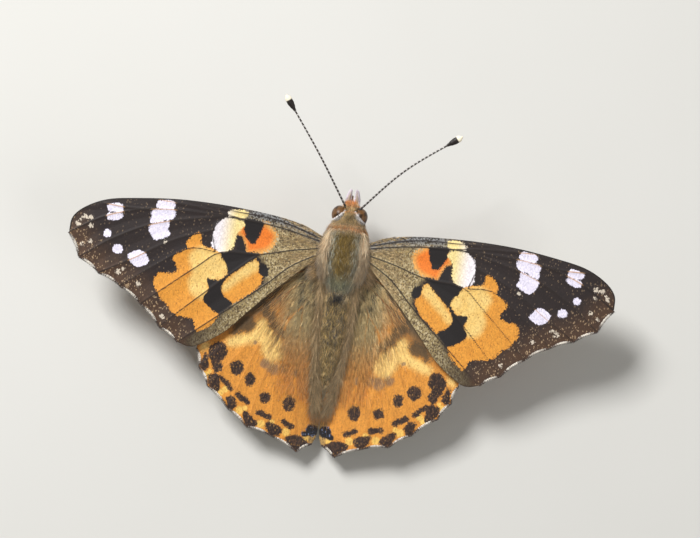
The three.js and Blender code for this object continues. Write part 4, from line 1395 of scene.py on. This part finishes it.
# Legs: four slender walking legs with long thighs, spined shins and feet of five joints that lie on
# the floor, and a short brush-like pair folded under the chest. All are clad in buff scales.
LEG_JOINTS = {
    "mid": (
        (1.1, -1.5, -2.9), [(4.9, 0.7, 5.1), (7.7, 1.4, 0.8), (9.0, 1.6, 0.16), (11.9, 1.9, 0.16)],
    ),
    "hind": (
        (1.1, -3.9, -2.8), [(4.7, -7.1, 4.35), (6.6, -11.2, 0.8), (7.2, -12.4, 0.16), (8.3, -15.3, 0.16)],
    ),
}
FORELEG = [(0.75, 0.9, -1.7), (1.35, 2.5, -2.6), (1.25, 1.2, -3.75), (1.05, 0.1, -4.15)]


def body_frame(points):
    """Places above the floor beside the hinges, taken back into the body frame: the stance undone."""
    points = np.asarray(points, float) - (0, 0, HINGE[2])
    v = points[:, 1] * math.cos(PITCH) + points[:, 2] * math.sin(PITCH)
    w = points[:, 2] * math.cos(PITCH) - points[:, 1] * math.sin(PITCH)
    return np.column_stack([points[:, 0], v, w])


def bent(joints, per_piece=40):
    """Straight pieces from joint to joint with the corners eased by a running mean."""
    joints = np.asarray(joints, float)
    t = np.linspace(0, len(joints) - 1, per_piece * (len(joints) - 1) + 1)
    path = between(t, np.arange(len(joints)), joints)
    window = np.ones(7) / 7
    padded = np.pad(path, ((3, 3), (0, 0)), mode="edge")
    return np.column_stack([np.convolve(padded[:, k], window, "valid") for k in range(3)]), t


def leg_paint():
    """Buff scales with brown clouds."""
    paint = Paint("leg", roughness=0.55, specular=0.4, sheen=0.2)
    scale = paint.cells(0.00008, (1, 1, 0.6))
    brown = (paint.cloud(0.0007) + (scale - 0.5) * 0.3).step(0.4, 0.7)
    colour = paint.blend("c2a67c", "8a6a44", brown)
    return paint.finish(paint.shade(colour, 0.8 + scale * 0.35), scale, 0.00001, 0.5)


leg_finish = leg_paint()


def leg_piece(name, node, joints, profile):
    """A leg tube whose radius runs through the profile's values at shares of a joint's length."""
    path, t = bent(joints)
    stops, sizes = np.array(profile).T
    radii = np.interp(t, stops, sizes)
    leg = sweep(name, path, radii, sides=14)
    leg.data.materials.append(leg_finish)
    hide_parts(node)
    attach(leg, "root")
    return path, t, radii


def leg_bristles(name, path, t, radii, count, low, high, length):
    """Short scales and bristles that lie down the leg."""
    pick = random.uniform(low, high, count)
    here = between(pick, t, path)
    down = unit_rows(between(pick + 0.02, t, path) - here)
    loose = random.normal(size=(count, 3))
    outward = unit_rows(loose - np.sum(loose * down, 1, keepdims=True) * down)
    roots = here + outward * (np.interp(pick, t, radii)[:, None] - 0.02)
    colours = either(count, 0.7, "cdb48c", "7c5e3c")
    spots = np.column_stack([0.1 + 0.02 * pick, 0.9 + 0.02 * outward[:, 0]])
    lie = down + random.normal(0, 0.08, (count, 3))
    tufts(name, roots, outward, lie, length, width=0.016, lift=0.25, curl=0.05,
          colours=strands(colours, 0.15), spots=spots)


WALKING_PROFILE = [
    (0, 0.3), (0.4, 0.3), (0.85, 0.22), (1.0, 0.2), (1.15, 0.17), (1.8, 0.15), (2.0, 0.17), (2.1, 0.12),
    (2.9, 0.12), (3.0, 0.15), (3.08, 0.11), (3.3, 0.14), (3.34, 0.11), (3.6, 0.135), (3.64, 0.1),
    (3.9, 0.13), (4.0, 0.05),
]
FORELEG_PROFILE = [(0, 0.24), (0.8, 0.2), (1.2, 0.15), (2.0, 0.13), (2.6, 0.12), (3.0, 0.04)]
for name, side in SIDES.items():
    for pair, (hip, others) in LEG_JOINTS.items():
        joints = np.vstack([hip, body_frame(others)]) * (side, 1, 1)
        path, t, radii = leg_piece(f"leg_{pair}_limb_{name}", f"leg_{pair}_{name}", joints, WALKING_PROFILE)
        leg_bristles(f"bristles_{pair}_{name}", path, t, radii, 1300, 0.1, 2.9, 0.3)
    joints = np.array(FORELEG) * (side, 1, 1)
    path, t, radii = leg_piece(f"foreleg_limb_{name}", f"foreleg_{name}", joints, FORELEG_PROFILE)
    leg_bristles(f"bristles_foreleg_{name}", path, t, radii, 1500, 0.2, 2.95, 0.5)

# Studio: a plain pale floor, a broad soft lamp from the upper left of the picture, a weaker one from
# the right, and pale surroundings. The camera looks squarely onto the spread wings.
LEAN = math.radians(8.3)
LENS = 100.0
SENSOR = 36.0
FIELD_WIDTH = 82.4 * MM
AIM = (0.95, -3.6, 1.0)
floor_points = np.array([(-1, -1, 0), (1, -1, 0), (1, 1, 0), (-1, 1, 0)]) * 1.5
floor = build_mesh("floor", floor_points, [np.array([[0, 1, 2, 3]])], smooth=False)
floor_paint = Paint("floor", roughness=0.9, specular=0.2)
floor_paint.finish(floor_paint.blend("cfceca", "c8c7c2", floor_paint.cloud(0.05)))
floor.data.materials.append(floor_paint.material)


def lamp(name, direction, distance, size, power):
    """A square soft lamp that faces the wings from a direction in the body frame."""
    light = bpy.data.lights.new(name, "AREA")
    light.size = size
    light.energy = power
    holder = bpy.data.objects.new(name, light)
    bpy.context.scene.collection.objects.link(holder)
    away = Vector(turned(np.asarray(direction, float))).normalized()
    holder.location = Vector(stance(np.array(AIM))) + away * distance
    holder.rotation_euler = away.to_track_quat("Z", "Y").to_euler()


lamp("key", (-0.6, 0.7, 0.9), distance=0.42, size=0.14, power=2.3)
lamp("fill", (0.9, -0.3, 0.8), distance=0.5, size=0.3, power=0.6)
world = bpy.data.worlds.new("surroundings")
world.use_nodes = True
background = world.node_tree.nodes["Background"]
background.inputs["Color"].default_value = (1.0, 0.98, 0.95, 1)
background.inputs["Strength"].default_value = 0.26
bpy.context.scene.world = world
bpy.context.scene.view_settings.view_transform = "Standard"

camera = bpy.data.objects.new("camera", bpy.data.cameras.new("camera"))
bpy.context.scene.collection.objects.link(camera)
camera.data.lens = LENS
camera.data.sensor_width = SENSOR
camera.data.clip_start = 0.01
right = turned(np.array([math.cos(LEAN), math.sin(LEAN), 0]))
upward = turned(np.array([-math.sin(LEAN), math.cos(LEAN), 0]))
toward = turned(np.array([0.0, 0.0, 1.0]))
place = stance(np.array(AIM)) + toward * FIELD_WIDTH * LENS / SENSOR
turn = Matrix((right, upward, toward)).transposed().to_4x4()
camera.matrix_world = Matrix.Translation(Vector(place)) @ turn
bpy.context.scene.camera = camera
